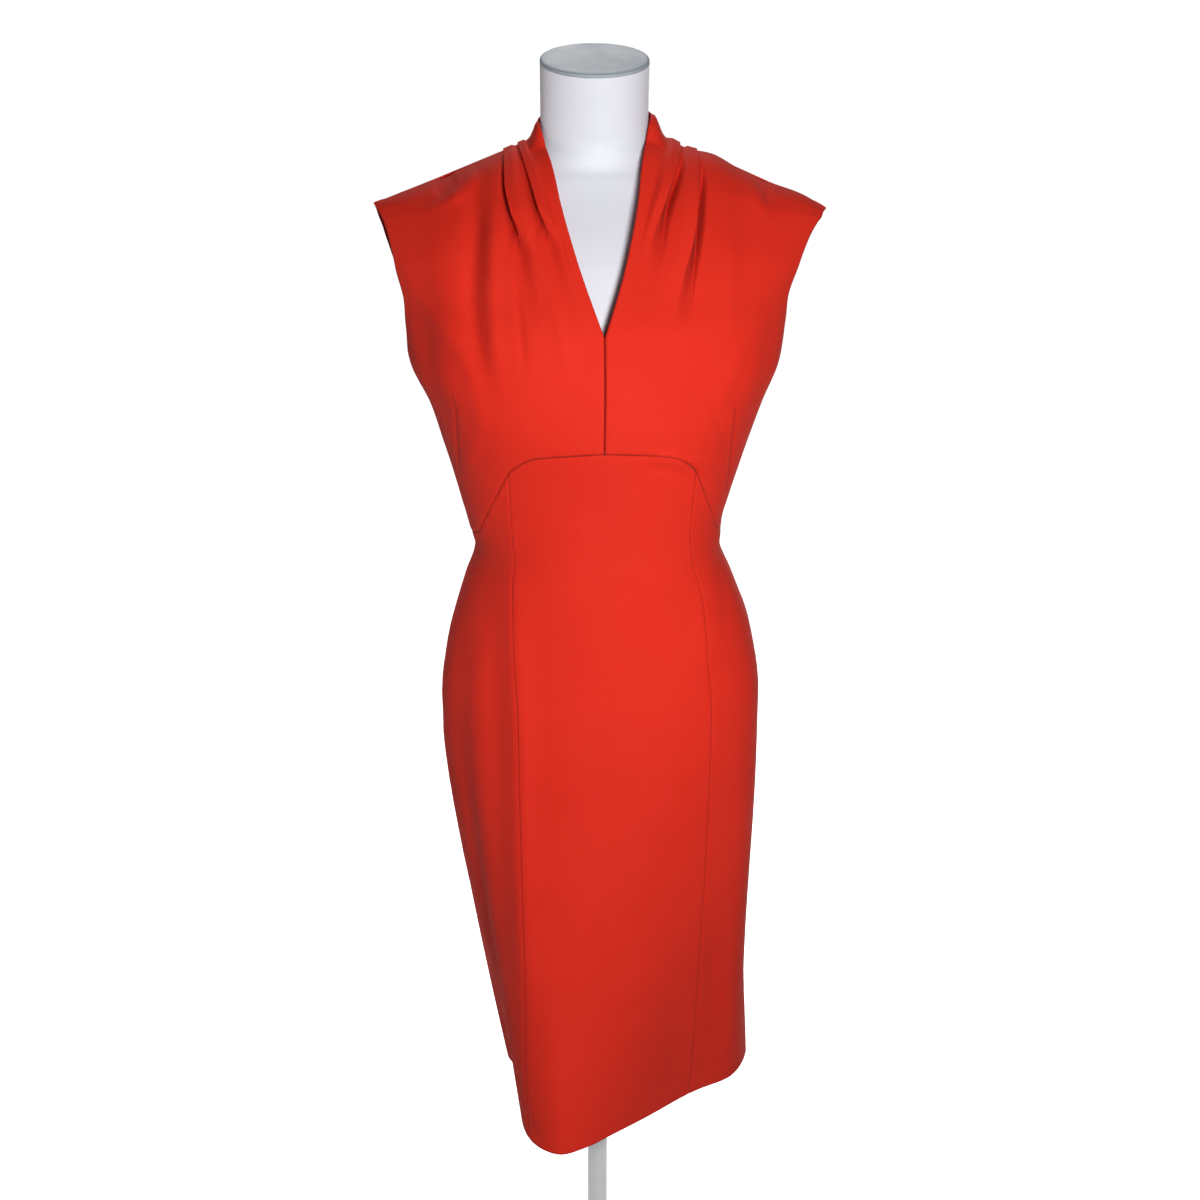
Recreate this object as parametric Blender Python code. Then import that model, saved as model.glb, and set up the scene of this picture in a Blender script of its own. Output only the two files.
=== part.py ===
"""A pleated sheath dress on a limbless dress form.

Metres, +Z up, origin on the floor under the middle of the stand's base. The dress faces -Y and the
wearer's right is at -X. The cloth is one wall through rings: each ring has a level, which is its height
on the dress's centre line, and a cloth angle runs round it, 0 at the centre front, 90 at the wearer's
left side and 180 at the centre back. Panels are stretches of those rings, 0.3 mm apart at the seams.
The tables hold millimetres and degrees.
"""

import math

import bmesh
import bpy
import numpy as np
from mathutils import Matrix, Vector

MM = 0.001

# ---------------------------------------------------------------- driving dimensions, in mm
WALL = 1.2
SEAM_GAP = 0.3
WAIST_SEAM_GAP = 0.5
STEP = 0.4

HEM = 476.0
SEAT = 890.0
UNDERARM = 1291.0
V_BOTTOM = 1337.5
BACK_NECK = 1500.0
SHOULDER = 1526.0

# Rings from the seat up. side_left and side_right are the heights of the ring's two ends, half_left and
# half_right its half widths, front and back its depths from middle_y, and square the power of its
# superellipse: 2 is an ellipse, more is boxier.
SECTION_COLUMNS = (
    "level", "side_left", "side_right", "half_left", "half_right", "front", "back", "middle_y", "square",
)
SECTIONS = {
    "seat": (SEAT, 890, 890, 162, 168, 119, 124, 0, 2.35),
    "hip": (935, 935, 935, 161, 168.5, 118, 122, 0, 2.35),
    "high hip": (1006, 1006, 1006, 151, 158, 110, 112, 0, 2.3),
    "below waist": (1060, 1060, 1060, 136, 139, 105, 95, 0, 2.25),
    "waist": (1096, 1096, 1096, 125, 126, 103, 80, 0, 2.2),
    "above waist": (1120, 1120, 1120, 131, 127, 104, 82, 0, 2.2),
    "midriff": (1150, 1150, 1150, 139, 134.5, 106, 88, 0, 2.25),
    "ribs": (1180, 1180, 1180, 147, 143.5, 110, 93, 0, 2.3),
    "under bust": (1207, 1207, 1207, 155, 151.5, 115, 98, 0, 2.4),
    "bust": (1250, 1250, 1250, 168, 165.5, 125, 104, 2, 2.5),
    "underarm": (UNDERARM, UNDERARM, UNDERARM, 187, 182, 129, 108, 4, 2.5),
    "chest": (1340, 1328, 1328, 194, 189, 127, 106, 8, 2.4),
    "armhole": (1385, 1361, 1359, 202, 197.5, 114, 102, 10, 2.3),
    "upper chest": (1425, 1388, 1384, 212, 210.5, 96, 95, 10, 2.3),
    "yoke": (1462, 1411, 1405, 218.5, 222, 75, 83, 10, 2.2),
    "high yoke": (1492, 1429, 1421, 220, 229, 53, 70, 10, 2.2),
    "back neck": (BACK_NECK, 1433, 1424, 220, 230, 46, 62.6, 10, 2.2),
    "shoulder front": (1512, 1439, 1430, 220, 229.5, 33, 47, 10, 2.2),
    "shoulder ridge": (1522, 1443, 1433, 219.5, 229, 16, 22, 10, 2.2),
    "shoulder seam": (SHOULDER, 1444.5, 1434, 219, 228.5, SEAM_GAP / 2, SEAM_GAP / 2, 10, 2.2),
}
# Near the neck a ring is flat, and further out it falls straight to its ends.
NECK_FLAT = 40.0
SHOULDER_LINE = {  # how far the shoulder's ridge lies above that straight fall, by distance to the left
    "right tip": (-217, 0), "right cap": (-150, -4), "right pleats": (-90, -5), "right neck": (-56, -4),
    "middle": (0, 0), "left neck": (56, 0), "left pleats": (88, -3), "beside left pleats": (118, 2.5),
    "left shoulder": (140, 0), "left cap": (170, 0), "left end": (205, 3), "left tip": (229, 0),
}

# The hem, seen from above: the skirt hangs turned to the wearer's left, with a corner at its right front.
HEM_COLUMNS = ("angle", "x", "y", "height")
HEM_RING = {
    "centre front": (0, 8, -131, 474),
    "front panel": (18, 52, -92, 473),
    "left princess seam": (36, 98, -51, 473.5),
    "left side front": (62, 147, -18, 475),
    "left side seam": (90, 169, 32, 478),
    "left back": (122, 154, 86, 478),
    "left back fold": (152, 97, 123, 477),
    "centre back": (180, 18, 137, 476),
    "right back fold": (208, -46, 118, 477),
    "right back": (238, -88, 78, 478),
    "right back edge": (258, -98, 36, 478),
    "right side seam": (270, -88, 2, 478),
    "right hollow": (288, -81, -48, 477),
    "right side front": (308, -87, -100, 474),
    "right princess seam": (324, -75, -140, 471),
    "corner": (336, -50, -160, 470),
    "beside the corner": (348, -22, -152, 472),
}
HANG = 1.3

# Soft folds: the cloth angle at the fold's top and bottom, its half width in degrees, how far it stands
# out, and the levels where it starts, is fullest and ends.
FOLD_COLUMNS = ("angle_top", "angle_bottom", "width", "depth", "top", "peak", "bottom")
SOFT_FOLDS = {
    "right bust": (-40, -40, 24, 5, 1390, 1270, 1190),
    "left bust": (40, 40, 24, 5, 1390, 1270, 1190),
    "right third pleat": (-31, -37, 5, -3.5, 1524, 1470, 1310),
    "beside right third pleat": (-40, -46, 7, 3, 1524, 1430, 1290),
    "left third pleat": (32, 37, 6, -2, 1524, 1480, 1380),
    "right armhole hollow": (-62, -58, 9, -4, 1420, 1330, 1215),
    "left armhole hollow": (60, 58, 9, -2.5, 1400, 1320, 1215),
    "right princess hollow": (-54, -60, 11, -9, 1130, 820, 300),
    "left side ridge": (66, 62, 12, 3, 1060, 800, 300),
    "right back ridge": (-140, -140, 18, 4, 980, 600, 200),
    "left back hollow": (135, 140, 16, -4, 980, 600, 200),
    "left side hollow": (84, 92, 24, -6, 880, 600, 465),
}

# The arched seam under the bust, level round the back: cloth angle and height.
WAIST_SEAM = {
    "centre": (0, 1222), "front": (20, 1216.5), "princess": (32, 1201), "slope": (42, 1175),
    "lower slope": (53, 1148), "side front": (68, 1122), "side": (90, 1110), "back": (180, 1108),
}
PRINCESS_SEAM = {  # level, half the front panel's width, and how far the panel has turned to the left
    "hem": (HEM, 115, 2), "knee": (700, 106, 11), "hip": (935, 103, 12), "high hip": (1006, 102, 8),
    "waist": (1096, 104, 1), "top": (1200, 104, 0),
}
V_NECK = {  # level, half width of the neck opening
    "bottom": (V_BOTTOM, 0), "low": (1401, 21.6), "middle": (1464, 37.5), "high": (1491, 42),
    "neck base": (1517, 49), "collar top": (SHOULDER, 55.8),
}
ARMHOLE = {  # level, how far the front's and the back's edge lie inside the ring's end
    "underarm": (UNDERARM, 0, 0), "bend": (1297, 12, 9), "low": (1315, 27, 20), "chest": (1340, 36, 28),
    "middle": (1385, 44, 35), "high": (1425, 43, 34), "cap": (1462, 35, 28), "high cap": (1492, 22, 18),
    "tip": (1512, 10, 9), "shoulder": (SHOULDER, 0.5, 0.5),
}

# Knife pleats: the side (-1 is the wearer's right), the fold edge's distance from the centre at four
# levels, the level where the pleat has opened out, and how far it laps under.
PLEAT_COLUMNS = ("side", "at_shoulder", "at_yoke", "at_chest", "at_bust", "end", "lap")
PLEAT_LEVELS = (1390.0, 1450.0, 1500.0, SHOULDER)
PLEATS = {
    "right inner": (-1, 76.5, 69.5, 57.5, 42, 1372, 5),
    "right outer": (-1, 90.5, 91, 83.5, 73.5, 1322, 7),
    "left inner": (1, 81.6, 78, 61.5, 42, 1390, 6),
    "left outer": (1, 98.6, 100, 97, 85, 1312, 8),
}
LAYER_GAP = 0.3

COLLAR_STAND = 17.0
COLLAR_TOP_HALF = 55.8
COLLAR_BASE_HALF = 68.0
COLLAR_TOP_DEPTH = 48.0
COLLAR_BASE_DEPTH = 62.0
COLLAR_BACK_HEIGHT = 1536.0
SHOULDER_Y = 10.0
NECK_X = -2.0

# The zip's slider: across, along the zip, and thick. Its crown is the arch that holds the pull tab.
SLIDER = (7.0, 9.5, 2.2)
CROWN_WIDTH = 1.6
CROWN = (  # along the zip and out from the slider's middle
    (-3.5, 0.6), (-3.5, 3.4), (-2.9, 4.2), (2.9, 4.2), (3.5, 3.4), (3.5, 0.6),
    (2.6, 0.6), (2.6, 3.0), (2.3, 3.3), (-2.3, 3.3), (-2.6, 3.0), (-2.6, 0.6),
)
# Half of the pull tab, from its middle: across and along from its hinge, of its outline and of its slot.
PULL_THICKNESS = 1.0
PULL_HINGE = (1.2, 2.2)
PULL_TILT = 3.0
PULL_HALF = (
    ((0, -0.5), (0, 0.5)), ((1.6, -0.5), (0.9, 0.5)), ((2.1, -0.3), (1.2, 0.65)), ((2.4, 0.6), (1.3, 1.0)),
    ((2.5, 2), (1.3, 2)), ((2.5, 5), (1.3, 4.4)), ((2.5, 17), (1.15, 4.85)), ((2.165, 18.25), (0.9, 5)),
    ((1.25, 19.17), (0.45, 5)), ((0, 19.5), (0, 5)),
)

BASE_RADIUS = 178.0
BASE_THICKNESS = 12.0
POLE_RADIUS = 11.0

# The form, a plain general figure, in level slices: height, half width, front, back, middle_y, square,
# and how far the slice rises to the back for each mm.
FORM_COLUMNS = ("height", "half", "front", "back", "middle_x", "middle_y", "square", "rise")
FORM_SLICES = {
    "underside": (868, 140, 98, 102, 0, 0, 2.3, 0),
    "rounded edge": (874, 149, 106, 110, 0, 0, 2.3, 0),
    "hip": (935, 153, 108, 112, 0, 0, 2.3, 0),
    "high hip": (1006, 142, 100, 103, 0, 0, 2.3, 0),
    "below waist": (1060, 126, 90, 86, 0, 0, 2.2, 0),
    "waist": (1102, 116, 83, 72, 0, 0, 2.2, 0),
    "midriff": (1150, 128, 88, 78, 0, 0, 2.2, 0),
    "under bust": (1205, 144, 102, 88, 0, 0, 2.3, 0),
    "bust": (1262, 160, 116, 96, 0, 2, 2.4, 0),
    "underarm": (1300, 168, 117, 99, 0, 5, 2.4, 0),
    "chest": (1345, 170, 108, 97, 0, 8, 2.4, 0),
    "shoulder blade": (1385, 168, 94, 93, 0, 10, 2.3, 0),
    "upper chest": (1415, 168, 79, 83, 0, 10, 2.2, 0),
    "shoulder": (1440, 164, 64, 71, 0, 10, 2.1, 0),
    "shoulder end": (1454, 156, 56, 65, 0, 10, 2.0, 0),
    "slope": (1464, 143, 51, 60, -1, 10, 2.0, 0),
    "middle slope": (1473, 123, 47, 55, -1, 10, 2.0, 0),
    "high slope": (1482, 93, 43, 51, -1, 10, 2.0, 0),
    "neck foot": (1493, 67, 41, 48, -2, 9, 2.0, 0.03),
    "neck base": (1507, 55, 41, 46, -2, 9, 2.0, 0.06),
    "neck": (1526, 52.6, 44, 46, -2, 8, 2.0, 0.1),
    "neck top": (1581, 53, 52, 50, -2, 2, 2.05, 0.16),
}
CAP_THICKNESS = 4.0
FORM_SIDES = 36

RED = (0.62, 0.028, 0.012)
WHITE = (0.78, 0.78, 0.83)
PALE_GREY = (0.42, 0.46, 0.50)
STEEL_WHITE = (0.72, 0.72, 0.73)
NICKEL = (0.62, 0.6, 0.57)


# ---------------------------------------------------------------- tables and curves
def column(table, names, name):
    return np.array([row[names.index(name)] for row in table.values()], float)


def smooth(at, knots, values):
    """A cubic through a table's values that never swings past them; it runs on straight beyond the ends."""
    at = np.asarray(at, float)
    gaps = np.diff(knots)
    rises = np.diff(values) / gaps
    slopes = np.concatenate([[rises[0]], np.zeros(len(rises) - 1), [rises[-1]]])
    same_way = rises[:-1] * rises[1:] > 0
    total = np.where(same_way, rises[:-1] + rises[1:], 1)
    slopes[1:-1] = np.where(same_way, 2 * rises[:-1] * rises[1:] / total, 0)
    inside = np.clip(at, knots[0], knots[-1])
    i = np.clip(np.searchsorted(knots, inside, side="right") - 1, 0, len(gaps) - 1)
    t = (inside - knots[i]) / gaps[i]
    curve = (
        values[i] * (1 + 2 * t) * (1 - t) ** 2
        + values[i + 1] * t * t * (3 - 2 * t)
        + gaps[i] * (slopes[i] * t * (1 - t) ** 2 - slopes[i + 1] * t * t * (1 - t))
    )
    over = at - inside
    return curve + over * np.where(over > 0, slopes[-1], slopes[0])


def lookup(table, at, value=1):
    rows = sorted(table.values())
    return smooth(at, np.array([row[0] for row in rows], float), np.array([row[value] for row in rows], float))


def ease(t):
    t = np.clip(t, 0, 1)
    return t * t * (3 - 2 * t)


def round_curve(angle, knots, values):
    """A closed cubic through values at angles round 360 degrees."""
    turn = 360.0
    long_knots = np.concatenate([knots[-2:] - turn, knots, knots[:3] + turn])
    long_values = np.concatenate([values[-2:], values, values[:3]])
    at = np.mod(angle, turn)
    i = np.searchsorted(long_knots, at, side="right") - 1
    k0, k1, k2, k3 = (long_knots[i + n] for n in (-1, 0, 1, 2))
    v0, v1, v2, v3 = (long_values[i + n] for n in (-1, 0, 1, 2))
    slope1 = (v2 - v0) / (k2 - k0)
    slope2 = (v3 - v1) / (k3 - k1)
    gap = k2 - k1
    t = (at - k1) / gap
    return (
        v1 * (1 + 2 * t) * (1 - t) ** 2
        + v2 * t * t * (3 - 2 * t)
        + gap * (slope1 * t * (1 - t) ** 2 - slope2 * t * t * (1 - t))
    )


# ---------------------------------------------------------------- the cloth's form
def signed_power(value, power):
    return np.sign(value) * np.abs(value) ** power


def torso_ring(level, angle):
    """Points of the rings from the seat up, before folds."""
    knots = column(SECTIONS, SECTION_COLUMNS, "level")
    read = {name: smooth(level, knots, column(SECTIONS, SECTION_COLUMNS, name)) for name in SECTION_COLUMNS[1:]}
    turn = np.radians(angle)
    left = np.sin(turn) >= 0
    half = np.where(left, read["half_right"], read["half_left"])
    side = np.where(left, read["side_right"], read["side_left"])
    depth = np.where(np.cos(turn) >= 0, read["front"], read["back"])
    power = 2 / read["square"]
    x = half * signed_power(np.sin(turn), power)
    y = read["middle_y"] - np.maximum(depth, 0) * signed_power(np.cos(turn), power)
    fall = (np.hypot(x, NECK_FLAT) - NECK_FLAT) / (np.hypot(half, NECK_FLAT) - NECK_FLAT)
    return np.stack([x, y, level + (side - level) * fall], -1)


def hem_ring(angle):
    knots = column(HEM_RING, HEM_COLUMNS, "angle")
    return np.stack(
        [round_curve(angle, knots, column(HEM_RING, HEM_COLUMNS, name)) for name in HEM_COLUMNS[1:]], -1
    )


def fold_height(level, angle):
    total = np.zeros(np.broadcast(level, angle).shape)
    for fold in SOFT_FOLDS.values():
        top_angle, bottom_angle, width, depth, top, peak, bottom = fold
        along = np.clip((top - level) / (top - max(bottom, HEM)), 0, 1)
        middle = top_angle + (bottom_angle - top_angle) * along
        rise = np.where(level > peak, ease((top - level) / (top - peak)), ease((level - bottom) / (peak - bottom)))
        total = total + depth * rise * np.exp(-(((angle - middle) / width) ** 2))
    return total


def shoulder_rise(points, level):
    """How far the shoulder's ridge, and the band at the side of the neck, stand above the rings."""
    near = 1 - ease((np.abs(points[..., 0]) - COLLAR_TOP_HALF) / (COLLAR_BASE_HALF - COLLAR_TOP_HALF))
    band = COLLAR_STAND * near * ease((level - 1515) / (SHOULDER - 1515))
    return band + lookup(SHOULDER_LINE, points[..., 0]) * ease((level - 1440) / (SHOULDER - 1440))


def surface(level, angle):
    """Points on the outer face of the cloth at levels and cloth angles, in mm."""
    level, angle = np.broadcast_arrays(np.asarray(level, float), np.asarray(angle, float))
    points = torso_ring(np.clip(level, SEAT, None), angle)
    hanging = np.clip((SEAT - level) / (SEAT - HEM), 0, None)[..., None]
    hem = hem_ring(angle)
    points[..., :2] += (hem[..., :2] - points[..., :2]) * hanging**HANG
    points[..., 2:] += (hem[..., 2:] - points[..., 2:]) * hanging
    middle = np.stack([30 * hanging[..., 0], np.full(level.shape, 5.0)], -1)
    outward = points[..., :2] - middle
    outward /= np.linalg.norm(outward, axis=-1, keepdims=True)
    points[..., :2] += outward * fold_height(level, angle)[..., None]
    points[..., 2] += shoulder_rise(points, level)
    return points


def normals(level, angle):
    """Unit normals of that face, pointing out of the body."""
    angle = np.asarray(angle, float)
    top = np.minimum(level + STEP, SHOULDER)
    up = surface(top, angle) - surface(top - 2 * STEP, angle)
    round_ring = surface(level, angle + STEP) - surface(level, angle - STEP)
    cross = np.cross(round_ring, up)
    return cross / np.linalg.norm(cross, axis=-1, keepdims=True)


def along_row(level_of, angle_from, angle_to):
    """Distances along a row's cloth, with the angles and points that they belong to."""
    angles = np.linspace(angle_from, angle_to, 361)
    points = surface(level_of(angles), angles)
    steps = np.linalg.norm(np.diff(points, axis=0), axis=1)
    return np.concatenate([[0], np.cumsum(steps)]), angles, points


def where_crossed(distances, values):
    """The distance at which values first pass zero upwards; the row's start where they already have."""
    over = np.flatnonzero(values > 0)
    if len(over) == 0:
        return distances[-1]
    k = over[0]
    if k == 0:
        return distances[0]
    part = -values[k - 1] / (values[k] - values[k - 1])
    return distances[k - 1] + part * (distances[k] - distances[k - 1])


# ---------------------------------------------------------------- the knife pleats
def pleat_profile(lap):
    """A pressed knife pleat across the cloth: offsets along the cloth from its fold edge, and heights.

    From the neck side: the top layer, round the fold edge, back under it, round, and out again below.
    """
    turn = WALL + LAYER_GAP / 2
    low = LAYER_GAP + 0.2
    high = 2 * turn + low
    slant = math.sqrt(0.5)
    across = [-lap - 1.5, -turn, -turn * (1 - slant), 0, -turn * (1 - slant), -turn, -lap, -lap - low / 2, -lap, 1.5]
    height = [high, high, high - turn * (1 - slant), high - turn, high - turn * (1 + slant), low, low, low / 2, 0, 0]
    return np.array(across), np.array(height)


def pleat_state(pleat, level):
    """(distance of the fold edge from the centre, how folded it is, how high it stands) at a level."""
    side, shoulder, yoke, chest, bust, end, lap = pleat
    edge = smooth(max(level, end), np.array(PLEAT_LEVELS), np.array([bust, chest, yoke, shoulder], float))
    down = np.clip((SHOULDER - level) / (SHOULDER - end), 0, 1)
    folded = 1 - ease(down / 0.75)
    lift = (1 + 1.5 * ease(down / 0.3)) * (1 - ease((down - 0.3) / 0.7))
    return edge, folded, lift


# ---------------------------------------------------------------- walls of cloth
def wall(name, grids, material):
    """A closed wall from grids of (outer, inner) points in mm that share their meeting edges."""
    bm = bmesh.new()
    copies = {}
    for outer, inner in grids:
        rows, columns = outer.shape[:2]
        made = bmesh.ops.create_grid(bm, x_segments=columns - 1, y_segments=rows - 1, size=1)["verts"]
        for k, vert in enumerate(made):
            row, place = divmod(k, columns)
            vert.co = Vector(outer[row, place] * MM)
            copies[vert] = Vector(inner[row, place] * MM)
    bmesh.ops.remove_doubles(bm, verts=bm.verts[:], dist=1e-6)
    outward = [vert for vert in bm.verts if vert in copies]
    rims = [(edge.verts[0], edge.verts[1], edge.link_faces[0]) for edge in bm.edges if edge.is_boundary]
    faces = list(bm.faces)
    inside = {vert: bm.verts.new(copies[vert]) for vert in outward}
    for face in faces:
        bm.faces.new([inside[vert] for vert in reversed(face.verts)])
    for first, second, face in rims:
        loop = next(loop for loop in face.loops if {loop.vert, loop.link_loop_next.vert} == {first, second})
        a, b = loop.vert, loop.link_loop_next.vert
        bm.faces.new((b, a, inside[a], inside[b]))
    if bm.calc_volume(signed=True) < 0:
        bmesh.ops.reverse_faces(bm, faces=bm.faces[:])
    return finish(name, bm, material)


def finish(name, bm, material):
    mesh = bpy.data.meshes.new(name)
    bm.normal_update()
    bm.to_mesh(mesh)
    bm.free()
    mesh.shade_smooth()
    mesh.set_sharp_from_angle(angle=math.radians(40))
    mesh.materials.append(material)
    obj = bpy.data.objects.new(name, mesh)
    bpy.context.scene.collection.objects.link(obj)
    return obj


def plain_grid(rows):
    """(outer, inner) grids from rows of (levels, angles)."""
    outer = np.array([surface(level, angle) for level, angle in rows])
    inward = np.array([normals(level, angle) for level, angle in rows])
    return outer, outer - WALL * inward


def waist_seam(angle):
    return lookup(WAIST_SEAM, np.abs(angle))


def spaced(count, power=1.0):
    """Fractions from 0 to 1, closer together towards 1 where power is over 1."""
    return 1 - (1 - np.linspace(0, 1, count + 1)) ** power


# ---------------------------------------------------------------- skirt
SKIRT_ROWS = 14
CENTER_COLUMNS = 12
SIDE_COLUMNS = 18
BACK_COLUMNS = 10
PANEL_SEAMS = {
    "skirt_front_center": ("right princess", "left princess", 2 * CENTER_COLUMNS),
    "skirt_front_side_right": ("right side", "right princess", SIDE_COLUMNS),
    "skirt_front_side_left": ("left princess", "left side", SIDE_COLUMNS),
    "skirt_back_right": ("right back", "right side", BACK_COLUMNS),
    "skirt_back_left": ("left side", "left back", BACK_COLUMNS),
}


def skirt_row(part_up, start, stop, columns):
    """(levels, angles) of one row of a skirt panel between two seams; part_up is 0 at the hem, 1 at the waist."""
    def level_of(angle):
        top = waist_seam(angle) - WAIST_SEAM_GAP / 2
        return HEM + (top - HEM) * part_up
    distances, angles, _ = along_row(level_of, -180, 180)
    distances = distances - np.interp(0, angles, distances)
    level = HEM + (1200 - HEM) * part_up
    half, turned_left = (float(lookup(PRINCESS_SEAM, level, value)) for value in (1, 2))
    seams = {"right princess": turned_left - half, "left princess": turned_left + half}
    for name, angle in (("right side", -90), ("left side", 90), ("right back", -180), ("left back", 180)):
        seams[name] = float(np.interp(angle, angles, distances))
    grade = np.interp([seams[start], seams[stop]], distances, np.gradient(level_of(angles), distances))
    gaps = SEAM_GAP / 2 / np.sqrt(1 - grade**2)
    ends = seams[start] + gaps[0], seams[stop] - gaps[1]
    at = np.interp(np.linspace(*ends, columns + 1), distances, angles)
    return level_of(at), at


def build_skirt(material):
    for name, (start, stop, columns) in PANEL_SEAMS.items():
        rows = [skirt_row(part, start, stop, columns) for part in np.linspace(0, 1, SKIRT_ROWS + 1)]
        wall(name, [plain_grid(rows)], material)


# ---------------------------------------------------------------- bodice
LOWER_ROWS = 4
ARM_LEVELS = (1297.0, 1315.0)
V_ROWS = 12
BACK_LEVELS = (1297.0, 1315.0, 1350.0, 1395.0, 1440.0, 1473.0)
COLLAR_ROWS = 8
NECK_STATIONS = 4
OUTER_COLUMNS = 7


def rising_row(part_up):
    """Levels along a row between the waist seam and the underarm."""
    def level_of(angle):
        bottom = waist_seam(angle) + WAIST_SEAM_GAP / 2
        return bottom + (UNDERARM - bottom) * part_up
    return level_of


def flat_row(level):
    return lambda angle: np.full(np.shape(angle), float(level))


def armhole_cut(level, value):
    """How far inside the ring's end the armhole's edge lies: value 1 is the front's, 2 the back's."""
    return SEAM_GAP / 2 if level <= UNDERARM else float(lookup(ARMHOLE, level, value))


def neck_edge(distances, points, level):
    """The distance along a front row at which the neck opening ends."""
    if level <= V_BOTTOM:
        return SEAM_GAP / 2
    axis = NECK_X * ease((level - V_BOTTOM) / (SHOULDER - V_BOTTOM))
    return where_crossed(distances, np.abs(points[:, 0] - axis) - lookup(V_NECK, level))


def pleated_stations(distances, points, level, pleats, start, stop):
    """Distances along a row, and heights over it, of the columns of a front bodice half."""
    reach = np.abs(points[:, 0])
    inner, outer = [], []
    for fold, pleat in zip((inner, outer), pleats):
        edge, folded, lift = pleat_state(pleat, level)
        across, height = pleat_profile(pleat[-1])
        flat = np.concatenate([[0], np.cumsum(np.hypot(np.diff(across), np.diff(height)))])
        flat -= flat[-1] / 2
        fold += [where_crossed(distances, reach - edge) + folded * across + (1 - folded) * flat, lift * height]
    at_shoulder = ease((level - 1500) / (SHOULDER - 1500))
    base = start + (inner[0][0] - start) * 0.8
    base += at_shoulder * (where_crossed(distances, reach - COLLAR_BASE_HALF) - base)
    base = min(base, inner[0][0] - 0.4)
    at = np.concatenate([
        np.linspace(start, base, NECK_STATIONS), inner[0], outer[0],
        np.linspace(outer[0][-1], stop, OUTER_COLUMNS + 1)[1:],
    ])
    neck_rise = np.linspace(0, 0.6, NECK_STATIONS) * inner[1][0]
    return at, np.concatenate([neck_rise, inner[1], outer[1], np.zeros(OUTER_COLUMNS)])


def front_row(level_of, level, side, pleats, pleated):
    """(levels, angles, heights) of one row of a front bodice half; pleated is 0 at the waist seam."""
    distances, angles, points = along_row(level_of, 0, 90 * side)
    start = neck_edge(distances, points, level)
    stop = distances[-1] - armhole_cut(level, 1)
    at, height = pleated_stations(distances, points, level, pleats, start, stop)
    princess = float(lookup(PRINCESS_SEAM, 1200))
    even = np.concatenate([
        np.linspace(start, princess, CENTER_COLUMNS + 1),
        np.linspace(princess, stop, SIDE_COLUMNS + 1)[1:],
    ])
    angle = np.interp(even + (at - even) * pleated, distances, angles)
    return level_of(angle), angle, height * pleated


def front_grid(side):
    """(outer, inner) grids of a front bodice half from the waist seam to the shoulder seam."""
    pleats = [pleat for pleat in PLEATS.values() if pleat[0] == side]
    plan = [(rising_row(part), UNDERARM, 0.8 * part) for part in np.linspace(0, 1, LOWER_ROWS + 1)]
    high = V_BOTTOM + (SHOULDER - V_BOTTOM) * spaced(V_ROWS, 1.7)
    for level in (*ARM_LEVELS, *high):
        plan.append((flat_row(level), level, 0.8 + 0.2 * (level - UNDERARM) / (V_BOTTOM - UNDERARM)))
    outer, plain = [], []
    for level_of, level, pleated in plan:
        levels, angles, height = front_row(level_of, level, side, pleats, float(ease(pleated)))
        facing = normals(levels, angles)
        outer.append(surface(levels, angles) + height[:, None] * facing)
        plain.append(facing)
    outer = np.array(outer)
    outer[-1, :, 1] = SHOULDER_Y - SEAM_GAP / 2
    return outer, outer - WALL * folded_normals(outer, np.array(plain))


def grid_normals(outer, like):
    """Unit normals of a grid of points, on the same side as like."""
    grid = np.cross(np.gradient(outer, axis=1), np.gradient(outer, axis=0))
    grid /= np.linalg.norm(grid, axis=-1, keepdims=True)
    return grid if (grid * like).sum(-1).mean() > 0 else -grid


def folded_normals(outer, plain):
    """Normals of a grid with its pleats: from the grid inside, and from the plain surface along its edges."""
    grid = grid_normals(outer, plain)
    grid[:, 0], grid[:, -1], grid[0] = plain[:, 0], plain[:, -1], plain[0]
    top = np.cross(np.gradient(outer[-1], axis=0), np.array([0.0, 1.0, 0.0]))
    top *= np.sign((top * grid[-1]).sum(-1, keepdims=True))
    grid[-1] = top / np.linalg.norm(top, axis=-1, keepdims=True)
    return grid


def neck_levels(side):
    """Levels where the back neck seam crosses the back's rings, evenly spaced round the neck."""
    levels = np.linspace(BACK_NECK, SHOULDER, 131)
    turns = []
    for level in levels:
        distances, _, points = along_row(flat_row(level), 180 * side, 90 * side)
        x = np.abs(points[:, 0]) / (COLLAR_BASE_HALF + SEAM_GAP)
        y = (points[:, 1] - SHOULDER_Y) / (COLLAR_BASE_DEPTH + SEAM_GAP)
        at = where_crossed(distances, np.hypot(x, y) - 1)
        turns.append(math.atan2(np.interp(at, distances, y), np.interp(at, distances, x)))
    wanted = np.linspace(math.radians(90), 0, COLLAR_ROWS + 1)
    return np.interp(-wanted, -np.array(turns), levels)


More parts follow.
